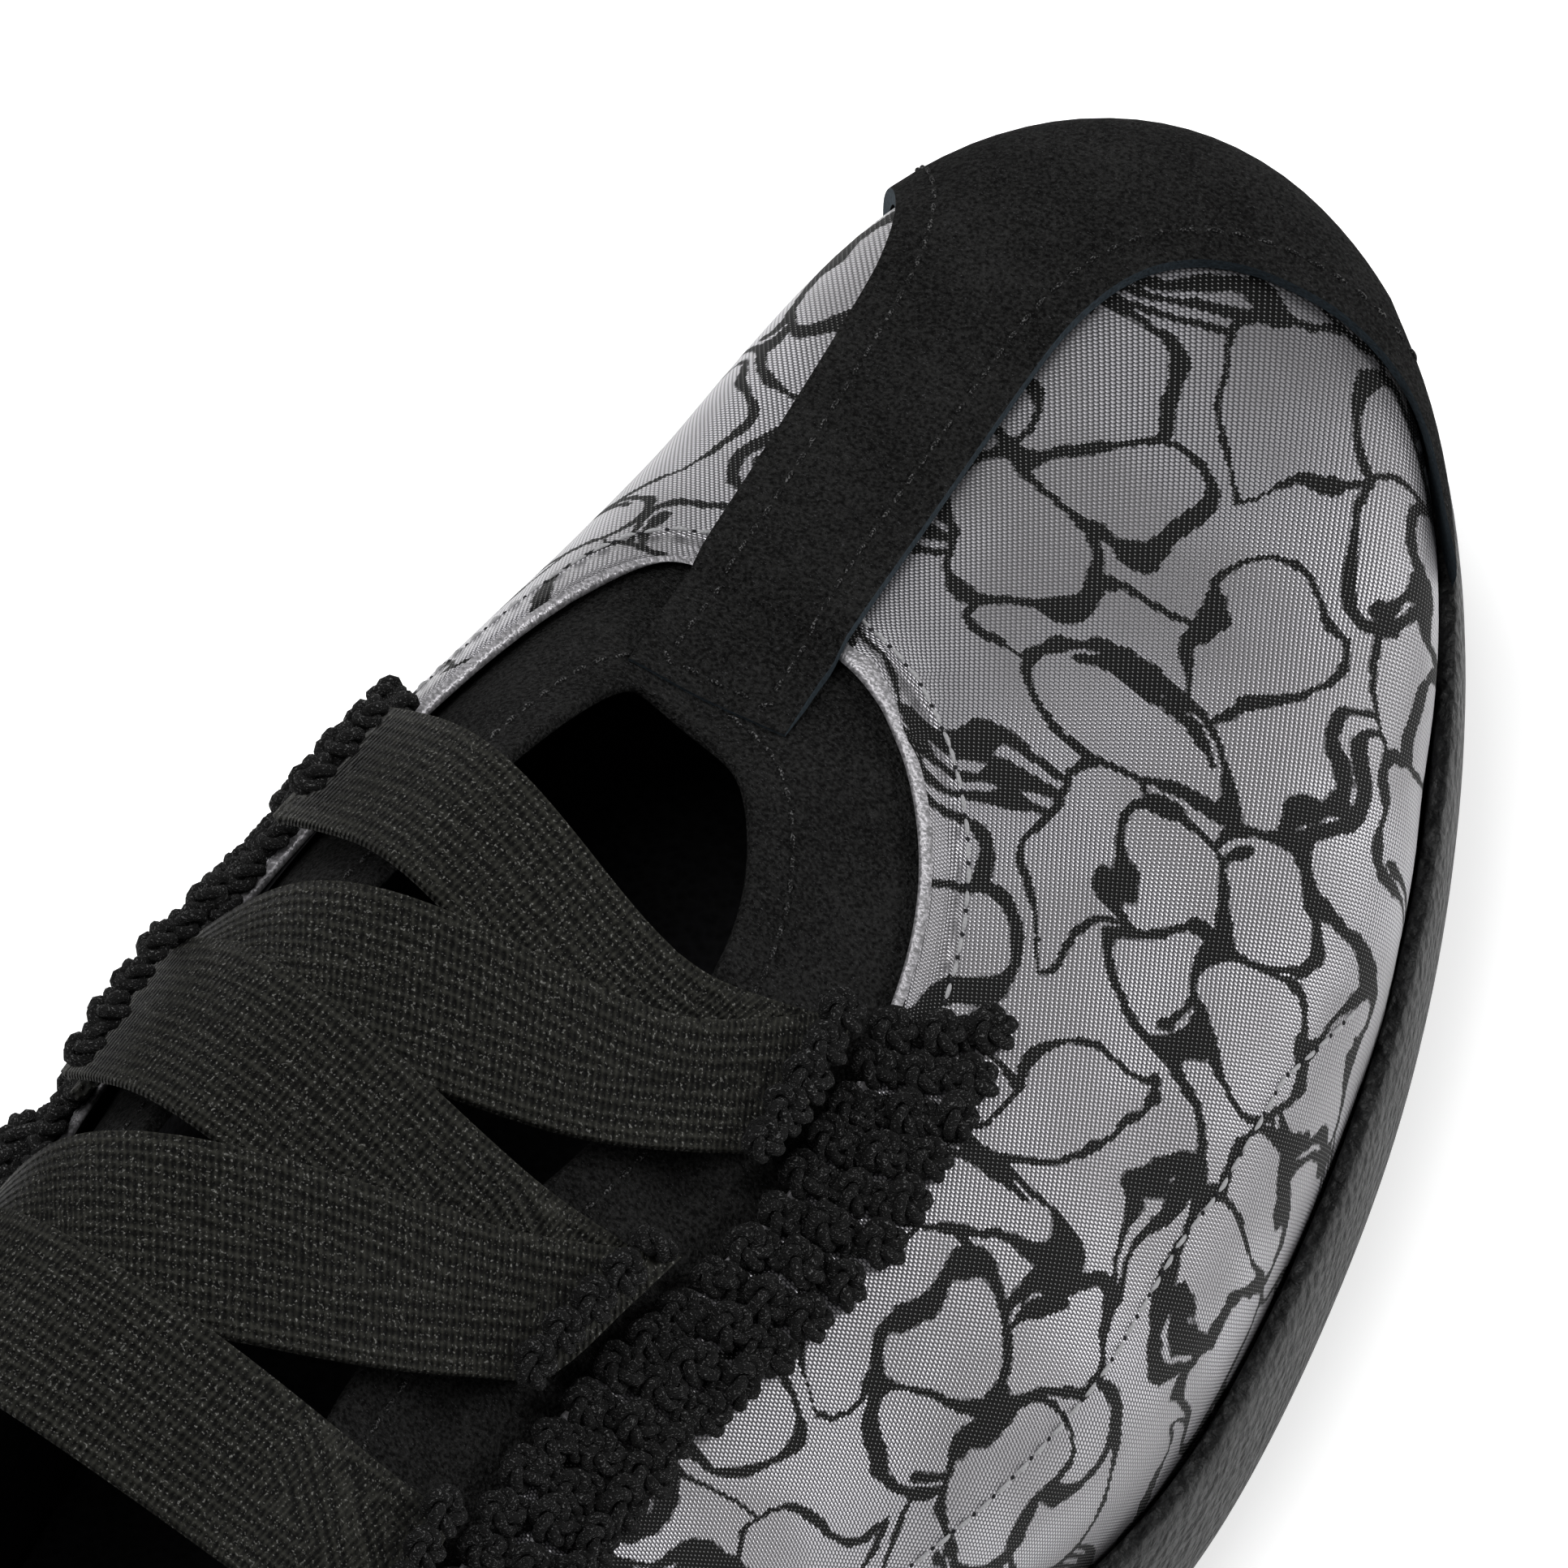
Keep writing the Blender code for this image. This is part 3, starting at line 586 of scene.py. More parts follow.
axes = satin.node("SeparateXYZ", {}, flat)
wide_way = Value(satin, axes.socket.node.outputs[1])
row = (wide_way / THREAD_WIDE).math("FLOOR")
cell_x = (axes / THREAD_LONG + row * 0.4).math("FRACT") - 0.5
cell_y = (wide_way / THREAD_WIDE).math("FRACT") - 0.5
float_x = 1.0 - cell_x * cell_x * 4.0
float_y = 1.0 - cell_y * cell_y * 4.0
floats = float_x * float_y
speck = satin.ramp(floats, 0.86, 0.96)
mottle = satin.noise(flat, 0.05, 2.0)
silver = satin.blend(satin.ramp(floats, 0.1, 0.9), SATIN_COLOUR, SATIN_FLOAT)
silver = satin.blend(satin.ramp(mottle, 0.40, 0.60) * 0.55, silver, SATIN_SHADE)
dark = satin.blend(speck, SATIN_BLACK, SATIN_FLECK)
puff = satin.ramp(gap_to_line - half, -0.1, 1.1)
hem = satin.node("Attribute", {"attribute_name": "hem"}, out=2)
groove = satin.ramp(abs(hem - HEM_WIDTH), 0.9, 0.0)
fold = satin.ramp(hem, -0.2, 1.4) - groove * 0.6
puffed = satin.bump(puff, PUFF_RELIEF, under=satin.bump(fold, HEM_RELIEF))
satin_finish = satin.paint(
    base_color=satin.blend(black, silver, dark),
    metallic=0.7 * (1.0 - black),
    roughness=black * 0.4 + 0.31,
    normal=satin.bump(floats, FLOAT_RELIEF, under=puffed),
)
fold = Dye("satin_fold", roughness=0.42, specular_ior_level=0.15, metallic=0.6)
twill = fold.noise(fold.vector("MULTIPLY", fold.place(), (1.0, 1.0, 0.6)), 3.4, 1.0)
fold_finish = fold.paint(
    base_color=fold.blend(fold.ramp(twill, 0.35, 0.65), FOLD_COLOUR, FOLD_LIGHT),
    normal=fold.bump(twill, FOLD_RELIEF),
)
for finish in (satin_finish, lining_finish, fold_finish, satin_finish):
    upper.data.materials.append(finish)
goes_on(upper, "satin", "upper")


# The facing: black suede all round throat and collar, sewn under the satin's edge. Its free edge is
# cut raw and turned down into the throat.
SUEDE_COLOUR = (0.0048, 0.0048, 0.0047)
SUEDE_NAP = (0.0310, 0.0310, 0.0305)
SUEDE_FIBRE = (0.10, 0.10, 0.105)
SUEDE_CUT = (0.055, 0.075, 0.092)
SUEDE_RELIEF = 0.0007
CUT_RELIEF = 0.0002

suede = Dye("black_suede", roughness=1.0, specular_ior_level=0.03)
here = suede.place()
nap = suede.noise(here, 3.0, 4.0)
patches = suede.noise(here, 0.14, 3.0)
fibre = suede.noise(suede.vector("MULTIPLY", here, (1.0, 2.2, 1.0)), 4.4, 2.0)
fleck = suede.ramp(fibre, 0.63, 0.76)
brushed = suede.blend(suede.ramp(nap + patches * 0.25, 0.40, 0.90), SUEDE_COLOUR, SUEDE_NAP)
suede_finish = suede.paint(
    base_color=suede.blend(fleck * 0.75, brushed, SUEDE_FIBRE),
    normal=suede.bump(nap + fibre * 0.6, SUEDE_RELIEF),
)
cut = Dye("suede_cut", roughness=0.95, specular_ior_level=0.1)
rough = cut.noise(cut.place(), 3.0, 4.0)
cut_finish = cut.paint(
    base_color=cut.blend(rough, SUEDE_COLOUR, SUEDE_CUT),
    normal=cut.bump(rough, CUT_RELIEF),
)
facing = smoothed(taken_from("throat_facing", "suede_facing"), crease=0.5)
facing.data.materials.append(suede_finish)
goes_on(facing, "suede", "throat_facing")


# The toe cap: one T of black suede sewn over the satin, with a strip back to the throat. Its raw edge
# shows blue-grey all along, and the end of the strip is skived thin and sinks into the facing.
CAP_WALL = 0.0012
CAP_GAP = 0.0003
CUT_UPRIGHT = 0.0002
CAP_SHARP = 40.0
KEPT_CORNER = 50.0
CAP_ROUNDS = 3
# How far back the strip goes on from the satin's edge, step by step, and where it has come down
TAIL_STEPS = (0.0009, 0.0018, 0.0032, 0.0050, 0.0070, 0.0090, 0.0110, 0.0130, 0.0150, 0.0170)
STEP_DOWN = 0.0030
SKIVED = 0.0045
SKIVE_DEPTH = 0.0013
TAIL_MARGIN = 0.003
TAIL_DROP = 0.02
CAP_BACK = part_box("toe_cap")[0].y - 0.012
PRISM_SIDE = 0.060
PRISM_LOW = -0.01
PRISM_HEIGHT = 0.12
PRISM_AHEAD = 0.02
DROP_FROM = 0.2
STRIP_TURN = math.radians(8.3)
STRIP_WIDTH = 0.0157
STRIP_END_WIDTH = 0.0132
CAP_REACH = 0.0600
CAP_SPREAD = 0.0300
# The edge of the cap beside its strip, from the side of the shoe in: shares of reach and of spread
CAP_EDGE = (
    (0.62, 1.50),
    (0.80, 1.08),
    (0.90, 0.94),
    (0.96, 0.80),
    (0.99, 0.61),
    (0.99, 0.44),
    (0.98, 0.30),
    (0.95, 0.18),
    (0.90, 0.09),
    (0.82, 0.03),
    (0.70, 0.00),
    (0.00, 0.00),
)


def tree_of(piece):
    """A finder of the nearest and the topmost points of a piece."""
    return BVHTree.FromObject(piece, bpy.context.evaluated_depsgraph_get())


def dropped(tree, x, y):
    """The point and the normal where a plumb line at x, y first meets the piece, or None."""
    spot, normal, _, _ = tree.ray_cast(Vector((x, y, DROP_FROM)), -up)
    return (spot, normal) if spot else None


def smooth_row(points):
    """Rounds the gentle corners of an open row of plan points, and keeps the sharp ones."""
    for _ in range(CAP_ROUNDS):
        rounded = [points[0]]
        for before, here, after in zip(points, points[1:], points[2:]):
            a, b = here - before, after - here
            turn = abs(math.degrees(math.atan2(a[0] * b[1] - a[1] * b[0], a @ b)))
            cut_off = [0.25 * before + 0.75 * here, 0.75 * here + 0.25 * after]
            rounded += [here] if turn > KEPT_CORNER else cut_off
        points = rounded + [points[-1]]
    return points


def cap_side(hand):
    """One side of the cap's back edge in plan, from the side of the shoe to the strip's end."""
    side = []
    for along, out in CAP_EDGE:
        half = 0.5 * (STRIP_END_WIDTH + (STRIP_WIDTH - STRIP_END_WIDTH) * along) + out * CAP_SPREAD
        side.append(strip_end + strip_way * along * CAP_REACH + strip_side * hand * half)
    return side


corner = min((vert.co for vert in frame["nodes"]["toe_cap"].data.vertices), key=lambda co: co.y)
strip_way = np.array([-math.sin(STRIP_TURN), math.cos(STRIP_TURN)])
strip_side = np.array([math.cos(STRIP_TURN), math.sin(STRIP_TURN)])
strip_end = np.array(corner[:2]) + strip_side * 0.5 * STRIP_END_WIDTH
cap_edge = smooth_row(cap_side(1.0) + cap_side(-1.0)[::-1])
facing_tree = tree_of(facing)
upper_tree = tree_of(upper)
cap = bpy.data.objects.new("suede_toe_cap", upper.data.copy())
bpy.context.scene.collection.objects.link(cap)
pick(cap)
for face in cap.data.polygons:
    face.select = face.material_index != OUTER or face.center.y < CAP_BACK
bpy.ops.object.mode_set(mode="EDIT")
bpy.ops.mesh.select_mode(type="FACE")
bpy.ops.mesh.delete(type="FACE")
bpy.ops.mesh.select_mode(type="EDGE")
bpy.ops.mesh.select_all(action="DESELECT")
bpy.ops.object.mode_set(mode="OBJECT")
shape = bmesh.new()
shape.from_mesh(cap.data)
last = []
for edge in shape.edges:
    middle = np.array((0.5 * (edge.verts[0].co + edge.verts[1].co))[:2]) - strip_end
    under_strip = abs(middle @ strip_side) < 0.5 * STRIP_WIDTH + TAIL_MARGIN and middle @ strip_way > 0.0
    if edge.is_boundary and under_strip and edge.verts[0].co.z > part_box("toe_cap")[1].z - TAIL_DROP:
        last.append(edge)
starts = {vert: vert.co.copy() for edge in last for vert in edge.verts}
source = {vert: vert for vert in starts}
level = {vert: vert.co.z for vert in starts}
for step in TAIL_STEPS:
    grown = bmesh.ops.extrude_edge_only(shape, edges=last)["geom"]
    fresh = [item for item in grown if isinstance(item, bmesh.types.BMVert)]
    following = {}
    for old, first in source.items():
        for vert in fresh:
            if vert.co == old.co:
                following[vert] = first
    for vert, first in following.items():
        x, y = np.array(starts[first][:2]) - strip_way * step
        found = dropped(facing_tree, x, y)
        level[first] = found[0].z if found else level[first]
        share = min(1.0, step / STEP_DOWN)
        share = share * share * (3.0 - 2.0 * share)
        near_end = 1.0 - (np.array([x, y]) - strip_end) @ strip_way / SKIVED
        sunk = SKIVE_DEPTH * min(1.0, max(0.0, near_end))
        vert.co = (x, y, starts[first].z * (1.0 - share) + level[first] * share - sunk)
    source = following
    edges = [item for item in grown if isinstance(item, bmesh.types.BMEdge)]
    last = [edge for edge in edges if edge.verts[0] in following and edge.verts[1] in following]
bmesh.ops.recalc_face_normals(shape, faces=shape.faces)
if sum(face.normal.z for face in shape.faces) < 0.0:
    bmesh.ops.reverse_faces(shape, faces=shape.faces)
shape.to_mesh(cap.data)
shape.free()
pick(cap)
bpy.ops.object.mode_set(mode="EDIT")
bpy.ops.mesh.select_all(action="SELECT")
bpy.ops.transform.shrink_fatten(value=CAP_GAP)
bpy.ops.object.mode_set(mode="OBJECT")
wall = cap.modifiers.new("wall", "SOLIDIFY")
wall.thickness = CAP_WALL
wall.offset = 1.0
bpy.ops.object.modifier_apply(modifier="wall")
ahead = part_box("toe_cap")[1].y + PRISM_AHEAD
plan = cap_edge + [np.array([-PRISM_SIDE, ahead]), np.array([PRISM_SIDE, ahead])]
cutter_mesh = bpy.data.meshes.new("cap_cutter")
cutter_mesh.from_pydata([(*spot, PRISM_LOW) for spot in plan], [], [tuple(range(len(plan)))])
cutter = bpy.data.objects.new("cap_cutter", cutter_mesh)
bpy.context.scene.collection.objects.link(cutter)
pick(cutter)
bpy.ops.object.mode_set(mode="EDIT")
bpy.ops.mesh.select_all(action="SELECT")
bpy.ops.mesh.extrude_region_move(TRANSFORM_OT_translate={"value": (0.0, 0.0, PRISM_HEIGHT)})
bpy.ops.mesh.select_all(action="SELECT")
bpy.ops.mesh.normals_make_consistent(inside=False)
bpy.ops.object.mode_set(mode="OBJECT")
pick(cap)
trim = cap.modifiers.new("trim", "BOOLEAN")
trim.operation = "INTERSECT"
trim.solver = "MANIFOLD"
trim.object = cutter
bpy.ops.object.modifier_apply(modifier="trim")
bpy.data.objects.remove(cutter)
bpy.ops.object.shade_smooth_by_angle(angle=math.radians(CAP_SHARP))
cap.data.materials.clear()
cap.data.materials.append(suede_finish)
cap.data.materials.append(cut_finish)
for face in cap.data.polygons:
    face.material_index = 1 if abs(face.normal.z) < CUT_UPRIGHT else 0
goes_on(cap, "suede", "toe_cap")


# The heel strip: black suede over the back seam, from the sole's lip to the collar.
heel = smoothed(taken_from("heel_strip", "suede_heel_strip"), crease=0.6)
heel.data.materials.append(suede_finish)
goes_on(heel, "suede", "heel_strip")


# The stitching: pale thread round the satin's edge and along its side seam, black thread on the suede.
# Every stitch is a short rounded thread that dips into the cloth at both ends.
STITCH_LENGTH = 0.0016
STITCH_GAP = 0.0005
THREAD_RADIUS = 0.00019
THREAD_DIP = 0.9
HOLE_RADIUS = 0.00024
STITCH_LIFT = 0.00008
HOLE_LIFT = -0.00012
PALE_INSET = 0.0035
SUEDE_INSET = 0.0030
WALK_STEP = 0.0004
FIRST_FALL = 0.3
FACES_BACK = -0.3
STEEP = 0.05
TWIST_RELIEF = 0.0001
PALE_THREAD = (0.16, 0.16, 0.165)
PALE_LIGHT = (0.42, 0.42, 0.43)
BLACK_THREAD = (0.004, 0.004, 0.004)
# The black thread's lighter flecks are a painted highlight
BLACK_HIGHLIGHT = (0.12, 0.12, 0.12)
# The seam along the lateral side, in millimetres
SIDE_SEAM = (
    (31.2, 68.3, 28.4),
    (31.6, 58.2, 32.8),
    (33.6, 46.9, 34.3),
    (34.1, 41.0, 35.4),
    (35.5, 31.3, 35.7),
    (35.6, 25.6, 35.9),
    (35.0, 14.0, 36.0),
    (32.5, -4.0, 36.0),
    (29.5, -20.0, 36.0),
)


def upright(normal, along):
    """Turns a copy so that its Z stands on the surface and its X runs along."""
    x = (along - normal * along.dot(normal)).normalized()
    return Matrix((x, normal.cross(x), normal)).transposed()


def sown(name, shapes, places):
    """One mesh of many copies: each place is a shape's number, a spot and a turn."""
    forms = []
    for shape in shapes:
        points = np.zeros(len(shape.data.vertices) * 3)
        shape.data.vertices.foreach_get("co", points)
        forms.append((points.reshape(-1, 3), [tuple(face.vertices) for face in shape.data.polygons]))
    points, faces, count = [], [], 0
    for number, spot, turn in places:
        form, sides = forms[number]
        points.append(form @ np.array(turn).T + np.array(spot))
        faces += [tuple(index + count for index in side) for side in sides]
        count += len(form)
    mesh = bpy.data.meshes.new(name)
    mesh.from_pydata(np.concatenate(points).tolist(), [], faces)
    mesh.shade_smooth()
    piece = bpy.data.objects.new(name, mesh)
    bpy.context.scene.collection.objects.link(piece)
    return piece


def stitch_places(row, tree, closed=False, late=0.5, lift=STITCH_LIFT):
    """Evenly spaced places along a row of surface points, each turned along the row."""
    pitch = STITCH_LENGTH + STITCH_GAP
    row = np.array(row)
    if closed:
        row = np.concatenate([row, row[:1]])
    walked = np.concatenate([[0.0], np.cumsum(np.linalg.norm(np.diff(row, axis=0), axis=1))])
    marks = np.arange(late * pitch, walked[-1], pitch)
    spots = [np.stack([np.interp(mark, walked, row[:, axis]) for axis in range(3)], 1)
             for mark in (marks - 0.25 * pitch, marks, marks + 0.25 * pitch)]
    places = []
    for before, middle, after in zip(*spots):
        spot, normal, _, _ = tree.find_nearest(Vector(middle))
        places.append((0, spot + normal * lift, upright(normal, Vector(after - before))))
    return places


def walked_out(tree, spot, aside, distance):
    """The surface point reached by walking this far from an edge in a plan direction."""
    spot, normal, _, _ = tree.find_nearest(Vector(spot))
    ahead = (aside - up * FIRST_FALL).normalized()
    for _ in range(int(round(distance / WALK_STEP))):
        spot, normal, _, _ = tree.find_nearest(spot + ahead * WALK_STEP)
        if normal.dot(aside) > FACES_BACK:
            ahead = (aside - normal * aside.dot(normal)).normalized()
    return spot


def outward_ways(row):
    """The plan direction away from an opening at each point of the closed row round it."""
    run = np.roll(row, -1, 0) - np.roll(row, 1, 0)
    turns = (row[:, 0] * np.roll(row[:, 1], -1) - np.roll(row[:, 0], -1) * row[:, 1]).sum()
    hand = 1.0 if turns > 0.0 else -1.0
    return [Vector((hand * way[1], -hand * way[0], 0.0)).normalized() for way in run]


def outside(row, tree, distance):
    """The closed row round an opening moved outwards over the surface by a distance."""
    return np.array([walked_out(tree, spot, aside, distance) for spot, aside in zip(row, outward_ways(row))])


def on_top(tree, line):
    """A row of surface points under a plan line, without the spots that miss the piece."""
    found = [dropped(tree, x, y) for x, y in line]
    return [hit[0] for hit in found if hit and abs(hit[1].z) > STEEP]


def plan_beside(line, distance):
    """An open plan line moved to its left by a distance."""
    line = np.array(line)
    run = np.gradient(line, axis=0)
    run /= np.linalg.norm(run, axis=1, keepdims=True)
    return line + np.stack([-run[:, 1], run[:, 0]], 1) * distance


bpy.ops.mesh.primitive_uv_sphere_add(segments=8, ring_count=8, rotation=(0.0, math.pi / 2.0, 0.0))
stitch = bpy.context.object
bpy.ops.object.transform_apply(location=True, rotation=True, scale=True)
for vert in stitch.data.vertices:
    x, y, z = vert.co
    vert.co = (x * 0.5 * STITCH_LENGTH, y * THREAD_RADIUS, (z - x * x * THREAD_DIP) * THREAD_RADIUS)
upper_tree = tree_of(upper)
cap_tree = tree_of(cap)
throat_edge = sharp_rows(taken_from("throat_facing", "spare"))[0]
bpy.data.objects.remove(bpy.data.objects["spare"])
pale_row = outside(satin_edge, upper_tree, PALE_INSET)
black_row = outside(throat_edge, facing_tree, SUEDE_INSET)
side_seam = [upper_tree.find_nearest(Vector(spot) * 0.001)[0] for spot in SIDE_SEAM]
places = stitch_places(pale_row, upper_tree, closed=True) + stitch_places(side_seam, upper_tree)
pale = sown("pale_stitches", [stitch], places)
bpy.ops.mesh.primitive_uv_sphere_add(segments=8, ring_count=6, radius=HOLE_RADIUS)
hole = bpy.context.object
places = stitch_places(pale_row, upper_tree, closed=True, late=1.0, lift=HOLE_LIFT)
places += stitch_places(side_seam, upper_tree, late=1.0, lift=HOLE_LIFT)
holes = sown("needle_holes", [hole], places)
bpy.data.objects.remove(hole)
holes.data.materials.append(lining_finish)
goes_on(holes, "satin")
thread = Dye("pale_thread", roughness=0.5)
twist = thread.noise(thread.place(), 6.0, 2.0)
pale_finish = thread.paint(
    base_color=thread.blend(twist, PALE_THREAD, PALE_LIGHT),
    normal=thread.bump(twist, TWIST_RELIEF),
)
pale.data.materials.append(pale_finish)
goes_on(pale, "satin")
inner_line = on_top(cap_tree, plan_beside(cap_edge, -SUEDE_INSET))
places = stitch_places(black_row, facing_tree, closed=True) + stitch_places(inner_line, cap_tree)
dark = sown("black_stitches", [stitch], places)
thread = Dye("black_thread", roughness=0.8, specular_ior_level=0.1)
twist = thread.noise(thread.place(), 6.0, 2.0)
# The lighter flecks blended into the black thread are painted highlights
dark_finish = thread.paint(
    base_color=thread.blend(thread.ramp(twist, 0.5, 0.7), BLACK_THREAD, BLACK_HIGHLIGHT),
    normal=thread.bump(twist, TWIST_RELIEF),
)
dark.data.materials.append(dark_finish)
goes_on(dark, "suede")
bpy.data.objects.remove(stitch)


# The elastic: five flat knitted bands laid zigzag over the throat and sewn down at both ends. Each is
# ribbed lengthwise, crossed by fine rows of stitches, and has firm edges.
ELASTIC_COLOUR = (0.0010, 0.0010, 0.0008)
ELASTIC_LIGHT = (0.027, 0.027, 0.0225)
# The bright flecks on the elastic are painted glints
ELASTIC_GLINT = (0.15, 0.15, 0.14)
ELASTIC_RELIEF = 0.0004
BAND_COUNT = 5
RIB_PITCH = 1.05
ROW_PITCH = 0.58
FIRM_EDGE = 1.3
CENTRES = 24


def length_walked(piece, name):
    """Notes at each corner how far along the piece's length it lies, in millimetres."""
    points = np.array([vert.co for vert in piece.data.vertices])
    reach = points @ np.linalg.svd(points - points.mean(0), full_matrices=False)[2][0]
    marks = np.linspace(reach.min(), reach.max(), CENTRES)
    centres = np.array([points[abs(reach - mark) <= marks[1] - marks[0]].mean(0) for mark in marks])
    walked = np.concatenate([[0.0], np.cumsum(np.linalg.norm(np.diff(centres, axis=0), axis=1))])
    note = piece.data.attributes.new(name, "FLOAT", "POINT")
    note.data.foreach_set("value", np.interp(reach, marks, walked) * 1000.0)


elastic = Dye("ribbed_elastic", roughness=0.7, specular_ior_level=0.08)
here = elastic.place()
rim = elastic.node("Attribute", {"attribute_name": "rim"}, out=2)
rib = ((rim * (math.tau / RIB_PITCH)).math("COSINE") + 1.0) * 0.5
walk = elastic.node("Attribute", {"attribute_name": "walked"}, out=2)
row = ((walk * (math.tau / ROW_PITCH)).math("COSINE") + 1.0) * 0.5
speckle = elastic.noise(here, 2.6, 3.0)
# Painted glints: small bright flecks, stronger on the raised cross rows
elastic_glint = elastic.ramp(elastic.noise(here, 4.6, 1.0), 0.61, 0.72)
firm = elastic.ramp(rim, FIRM_EDGE, FIRM_EDGE * 0.6)
cell = rib * 0.25 + row * 0.25 + speckle * 0.70 + firm * 0.1
knit = elastic.blend(elastic.ramp(cell, 0.36, 1.00), ELASTIC_COLOUR, ELASTIC_LIGHT)
elastic_finish = elastic.paint(
    base_color=elastic.blend(elastic_glint * (row * 0.4 + 0.5), knit, ELASTIC_GLINT),
    normal=elastic.bump(rib * 0.6 + row * 0.4 + speckle * 0.5 + firm * 0.5, ELASTIC_RELIEF),
)
for number in range(1, BAND_COUNT + 1):
    node = f"elastic_band_{number}"
    band = taken_from(node, f"ribbed_band_{number}")
    rows = sharp_rows(band)
    smoothed(band, crease=0.7)
    rim_distance(band, rows, "rim")
    length_walked(band, "walked")
    band.data.materials.append(elastic_finish)
    goes_on(band, "elastic", node)


# The edging: crocheted from black wool yarn in rows of knots and sewn over the ends of the bands.
# Each knot is one strand wound round itself, and the satin glints between them.
YARN_COLOUR = (0.0045, 0.0045, 0.0045)
YARN_WORN = (0.016, 0.016, 0.016)
YARN_GLINT = (0.26, 0.26, 0.26)
YARN_RELIEF = 0.0012
YARN_RADIUS = 0.00046
YARN_ROUNDNESS = 2
KNOT_PITCH = 0.0039
KNOT_SIZE = 0.00054
KNOT_POINTS = 45
KNOT_KINDS = 4
KNOT_SEED = 7
KNOT_SWAY = (0.85, 1.15)
KNOT_LOBES = 5.0
KNOT_WINDS = 2.0
KNOT_SIZES = (0.94, 1.08)
KNOT_TILT = 0.4
KNOT_JOG = 0.0003
KNOT_LEAN = 0.25
KNOT_BESIDE = 0.001
EDGING_REACH = 0.0004
# A row for each line of knots: how far out from the satin's edge, how high, how big, how far along
KNOT_LINES = (
    (0.0000, 0.0013, 1.00, 0.0),
    (0.0036, 0.0012, 1.00, 0.5),
    (0.0074, 0.0011, 1.00, 0.0),
    (0.0018, 0.0007, 0.80, 0.25),
    (0.0055, 0.0007, 0.80, 0.75),
)
# The row of knots over the ends of the bands: how far in it lies from the satin's edge, how much
# further in the band is felt for, and how high it lies
CATCH_IN = 0.0026
CATCH_BACK = 0.0012
CATCH_HIGH = 0.0012
CATCH_PITCH = 0.9 * KNOT_PITCH


def yarn_loop(name, points):
    """A closed round strand along a row of points, as a mesh."""
    line = bpy.data.curves.new(name, "CURVE")
    line.dimensions = "3D"
    line.bevel_depth = YARN_RADIUS
    line.bevel_resolution = YARN_ROUNDNESS
    spline = line.splines.new("POLY")
    spline.points.add(len(points) - 1)
    for place, point in zip(spline.points, points):
        place.co = (*point, 1.0)
    spline.use_cyclic_u = True
    strand = bpy.data.objects.new(name, line)
    bpy.context.scene.collection.objects.link(strand)
    pick(strand)
    bpy.ops.object.convert(target="MESH")
    return bpy.context.object


yarn = Dye("wool_yarn", roughness=0.95, specular_ior_level=0.15)
here = yarn.place()
wool = yarn.noise(here, 2.2, 4.0)
strand = yarn.noise(yarn.vector("MULTIPLY", here, (1.0, 1.0, 3.0)), 4.5, 3.0)
glint = yarn.ramp(strand, 0.57, 0.68)
yarn_finish = yarn.paint(
    base_color=yarn.blend(glint * 0.7, yarn.blend(wool, YARN_COLOUR, YARN_WORN), YARN_GLINT),
    normal=yarn.bump(wool + strand, YARN_RELIEF),
)
dice = np.random.default_rng(KNOT_SEED)
steps = np.linspace(0.0, 2.0 * math.pi, KNOT_POINTS, endpoint=False)
knots = []
for kind in range(KNOT_KINDS):
    sway = dice.uniform(*KNOT_SWAY, 4)
    ring = 2.0 + sway[0] * np.cos(KNOT_LOBES * steps)
    loop_x = KNOT_SIZE * sway[1] * ring * np.cos(KNOT_WINDS * steps)
    loop_y = KNOT_SIZE * sway[2] * ring * np.sin(KNOT_WINDS * steps)
    loop_z = -KNOT_SIZE * sway[3] * np.sin(KNOT_LOBES * steps)
    knots.append(yarn_loop(f"knot_{kind}", np.stack([loop_x, loop_y, loop_z], 1)))
aways = outward_ways(satin_edge)
band_trees = [tree_of(bpy.data.objects[f"ribbed_band_{number}"]) for number in range(1, BAND_COUNT + 1)]
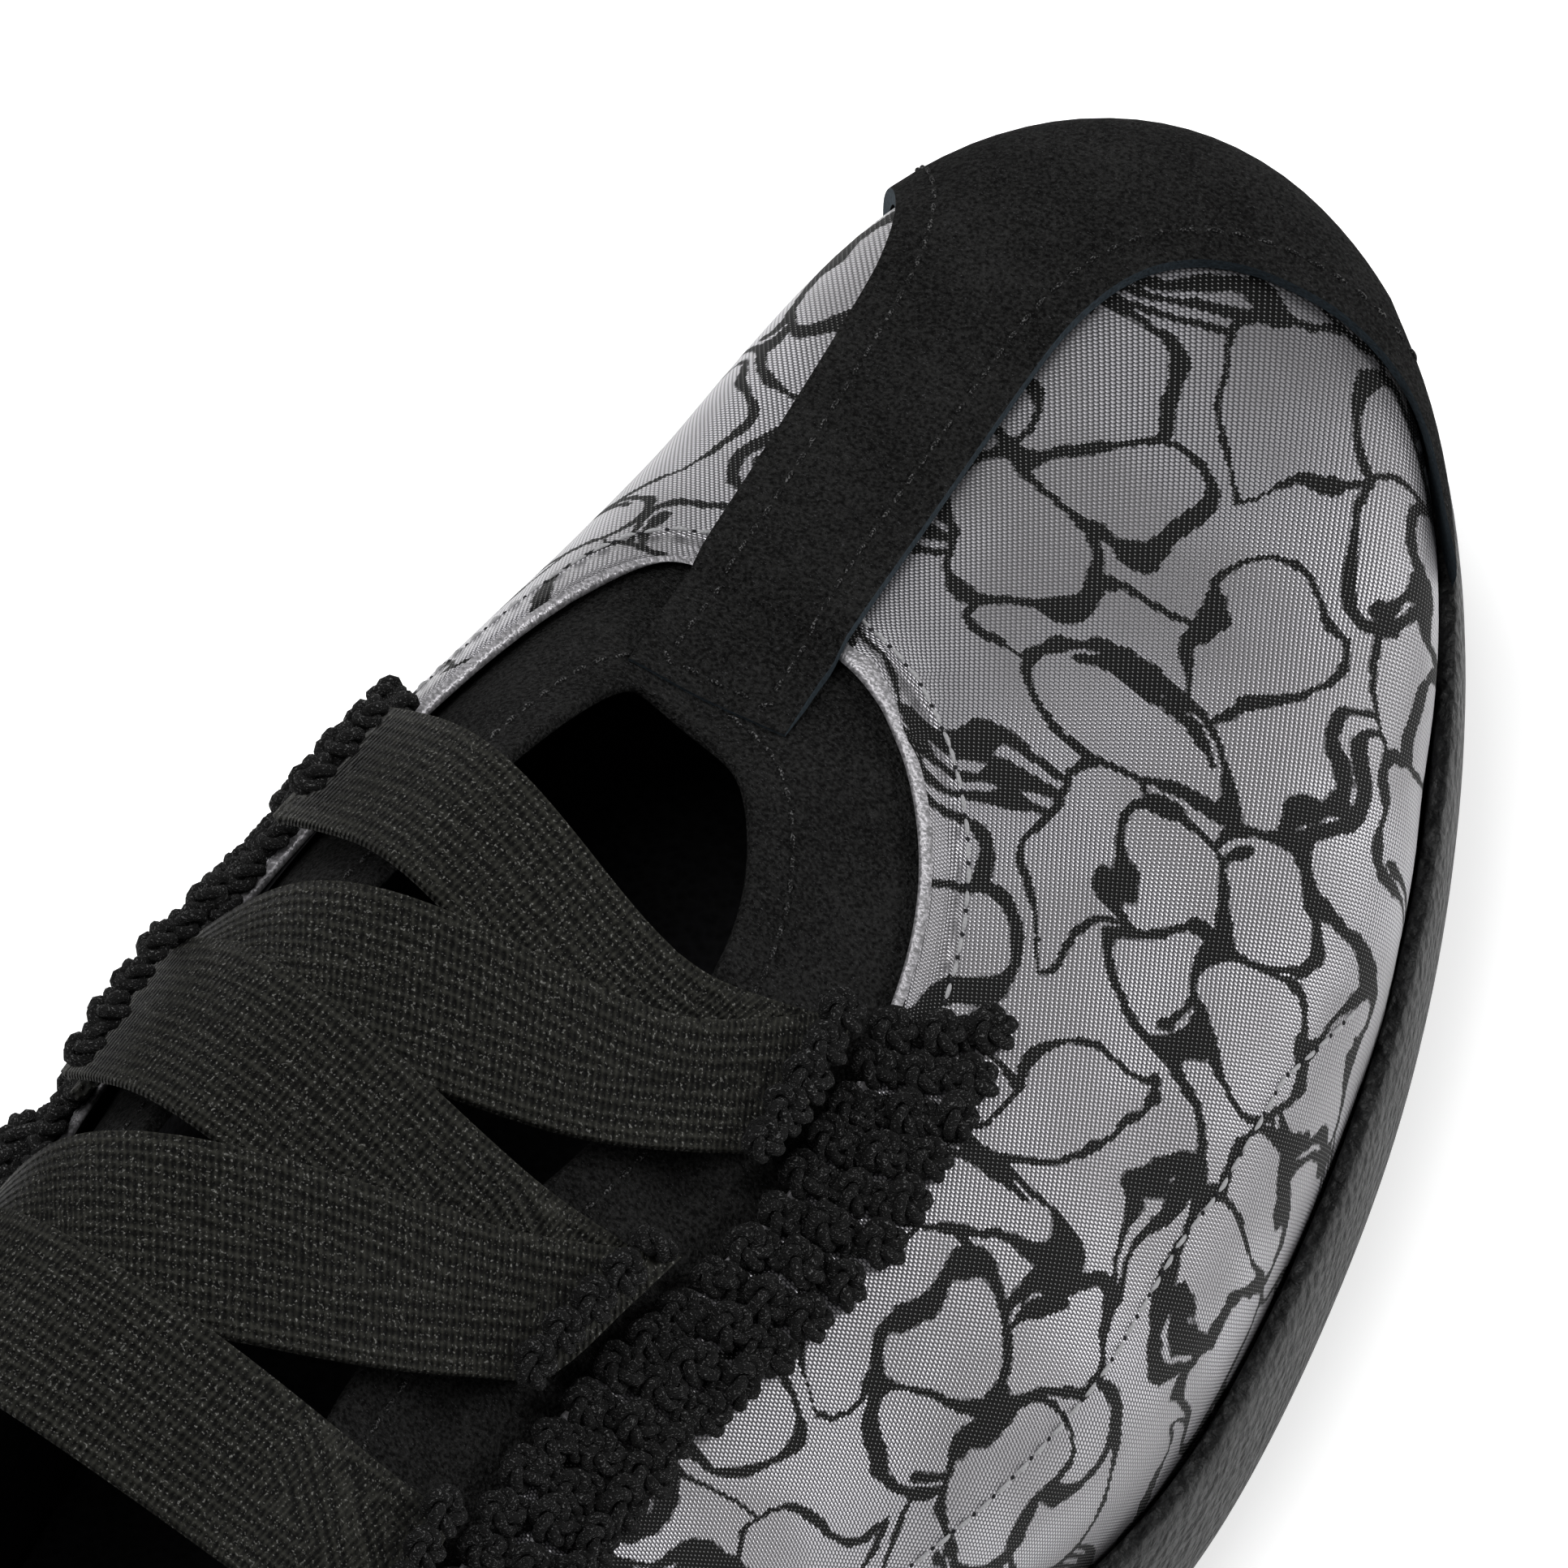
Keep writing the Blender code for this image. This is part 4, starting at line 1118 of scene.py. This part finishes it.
for side, hand in (("lateral", 1.0), ("medial", -1.0)):
    node = f"{side}_edging"
    node_tree = tree_of(frame["nodes"][node])
    run = [(spot, away) for spot, away in zip(satin_edge, aways) if away.x * hand > 0.0]
    run.sort(key=lambda pair: pair[0][1])
    spots = np.array([pair[0] for pair in run])
    ways = np.array([pair[1] for pair in run])
    walked = np.concatenate([[0.0], np.cumsum(np.linalg.norm(np.diff(spots, axis=0), axis=1))])
    places = []
    for out, high, big, late in KNOT_LINES:
        for mark in np.arange(late * KNOT_PITCH, walked[-1], KNOT_PITCH):
            spot = [np.interp(mark, walked, spots[:, axis]) for axis in range(3)]
            away = Vector([np.interp(mark, walked, ways[:, axis]) for axis in range(3)]).normalized()
            seat = walked_out(upper_tree, spot, away, out)
            beside = seat + up * KNOT_BESIDE + away * KNOT_BESIDE
            normal = (away * KNOT_LEAN + upper_tree.find_nearest(beside)[1]).normalized()
            seat += normal * high
            if node_tree.find_nearest(seat)[3] > EDGING_REACH + high:
                continue
            jog = Vector(dice.uniform(-KNOT_JOG, KNOT_JOG, 3))
            turn = Matrix.Rotation(dice.uniform(0.0, 2.0 * math.pi), 3, "Z")
            tilt = Matrix.Rotation(dice.uniform(-KNOT_TILT, KNOT_TILT), 3, "X")
            pose = upright(normal, Vector((0.0, 1.0, 0.0))) @ tilt @ turn * (big * dice.uniform(*KNOT_SIZES))
            places.append((int(dice.integers(KNOT_KINDS)), seat + jog, pose))
    for mark in np.arange(0.0, walked[-1], CATCH_PITCH):
        away = Vector([np.interp(mark, walked, ways[:, axis]) for axis in range(3)]).normalized()
        spot = Vector([np.interp(mark, walked, spots[:, axis]) for axis in range(3)])
        x, y, _ = spot - away * (CATCH_IN + CATCH_BACK)
        caught = [hit for hit in (dropped(tree, x, y) for tree in band_trees) if hit]
        if caught:
            seat, normal = max(caught, key=lambda hit: hit[0].z)
            turn = Matrix.Rotation(dice.uniform(0.0, 2.0 * math.pi), 3, "Z")
            pose = upright(normal, Vector((0.0, 1.0, 0.0))) @ turn * dice.uniform(*KNOT_SIZES)
            seat += away * CATCH_BACK + normal * CATCH_HIGH
            places.append((int(dice.integers(KNOT_KINDS)), seat, pose))
    crochet = sown(f"crochet_{side}", knots, places)
    crochet.data.materials.append(yarn_finish)
    goes_on(crochet, "yarn", node)
for knot in knots:
    bpy.data.objects.remove(knot)
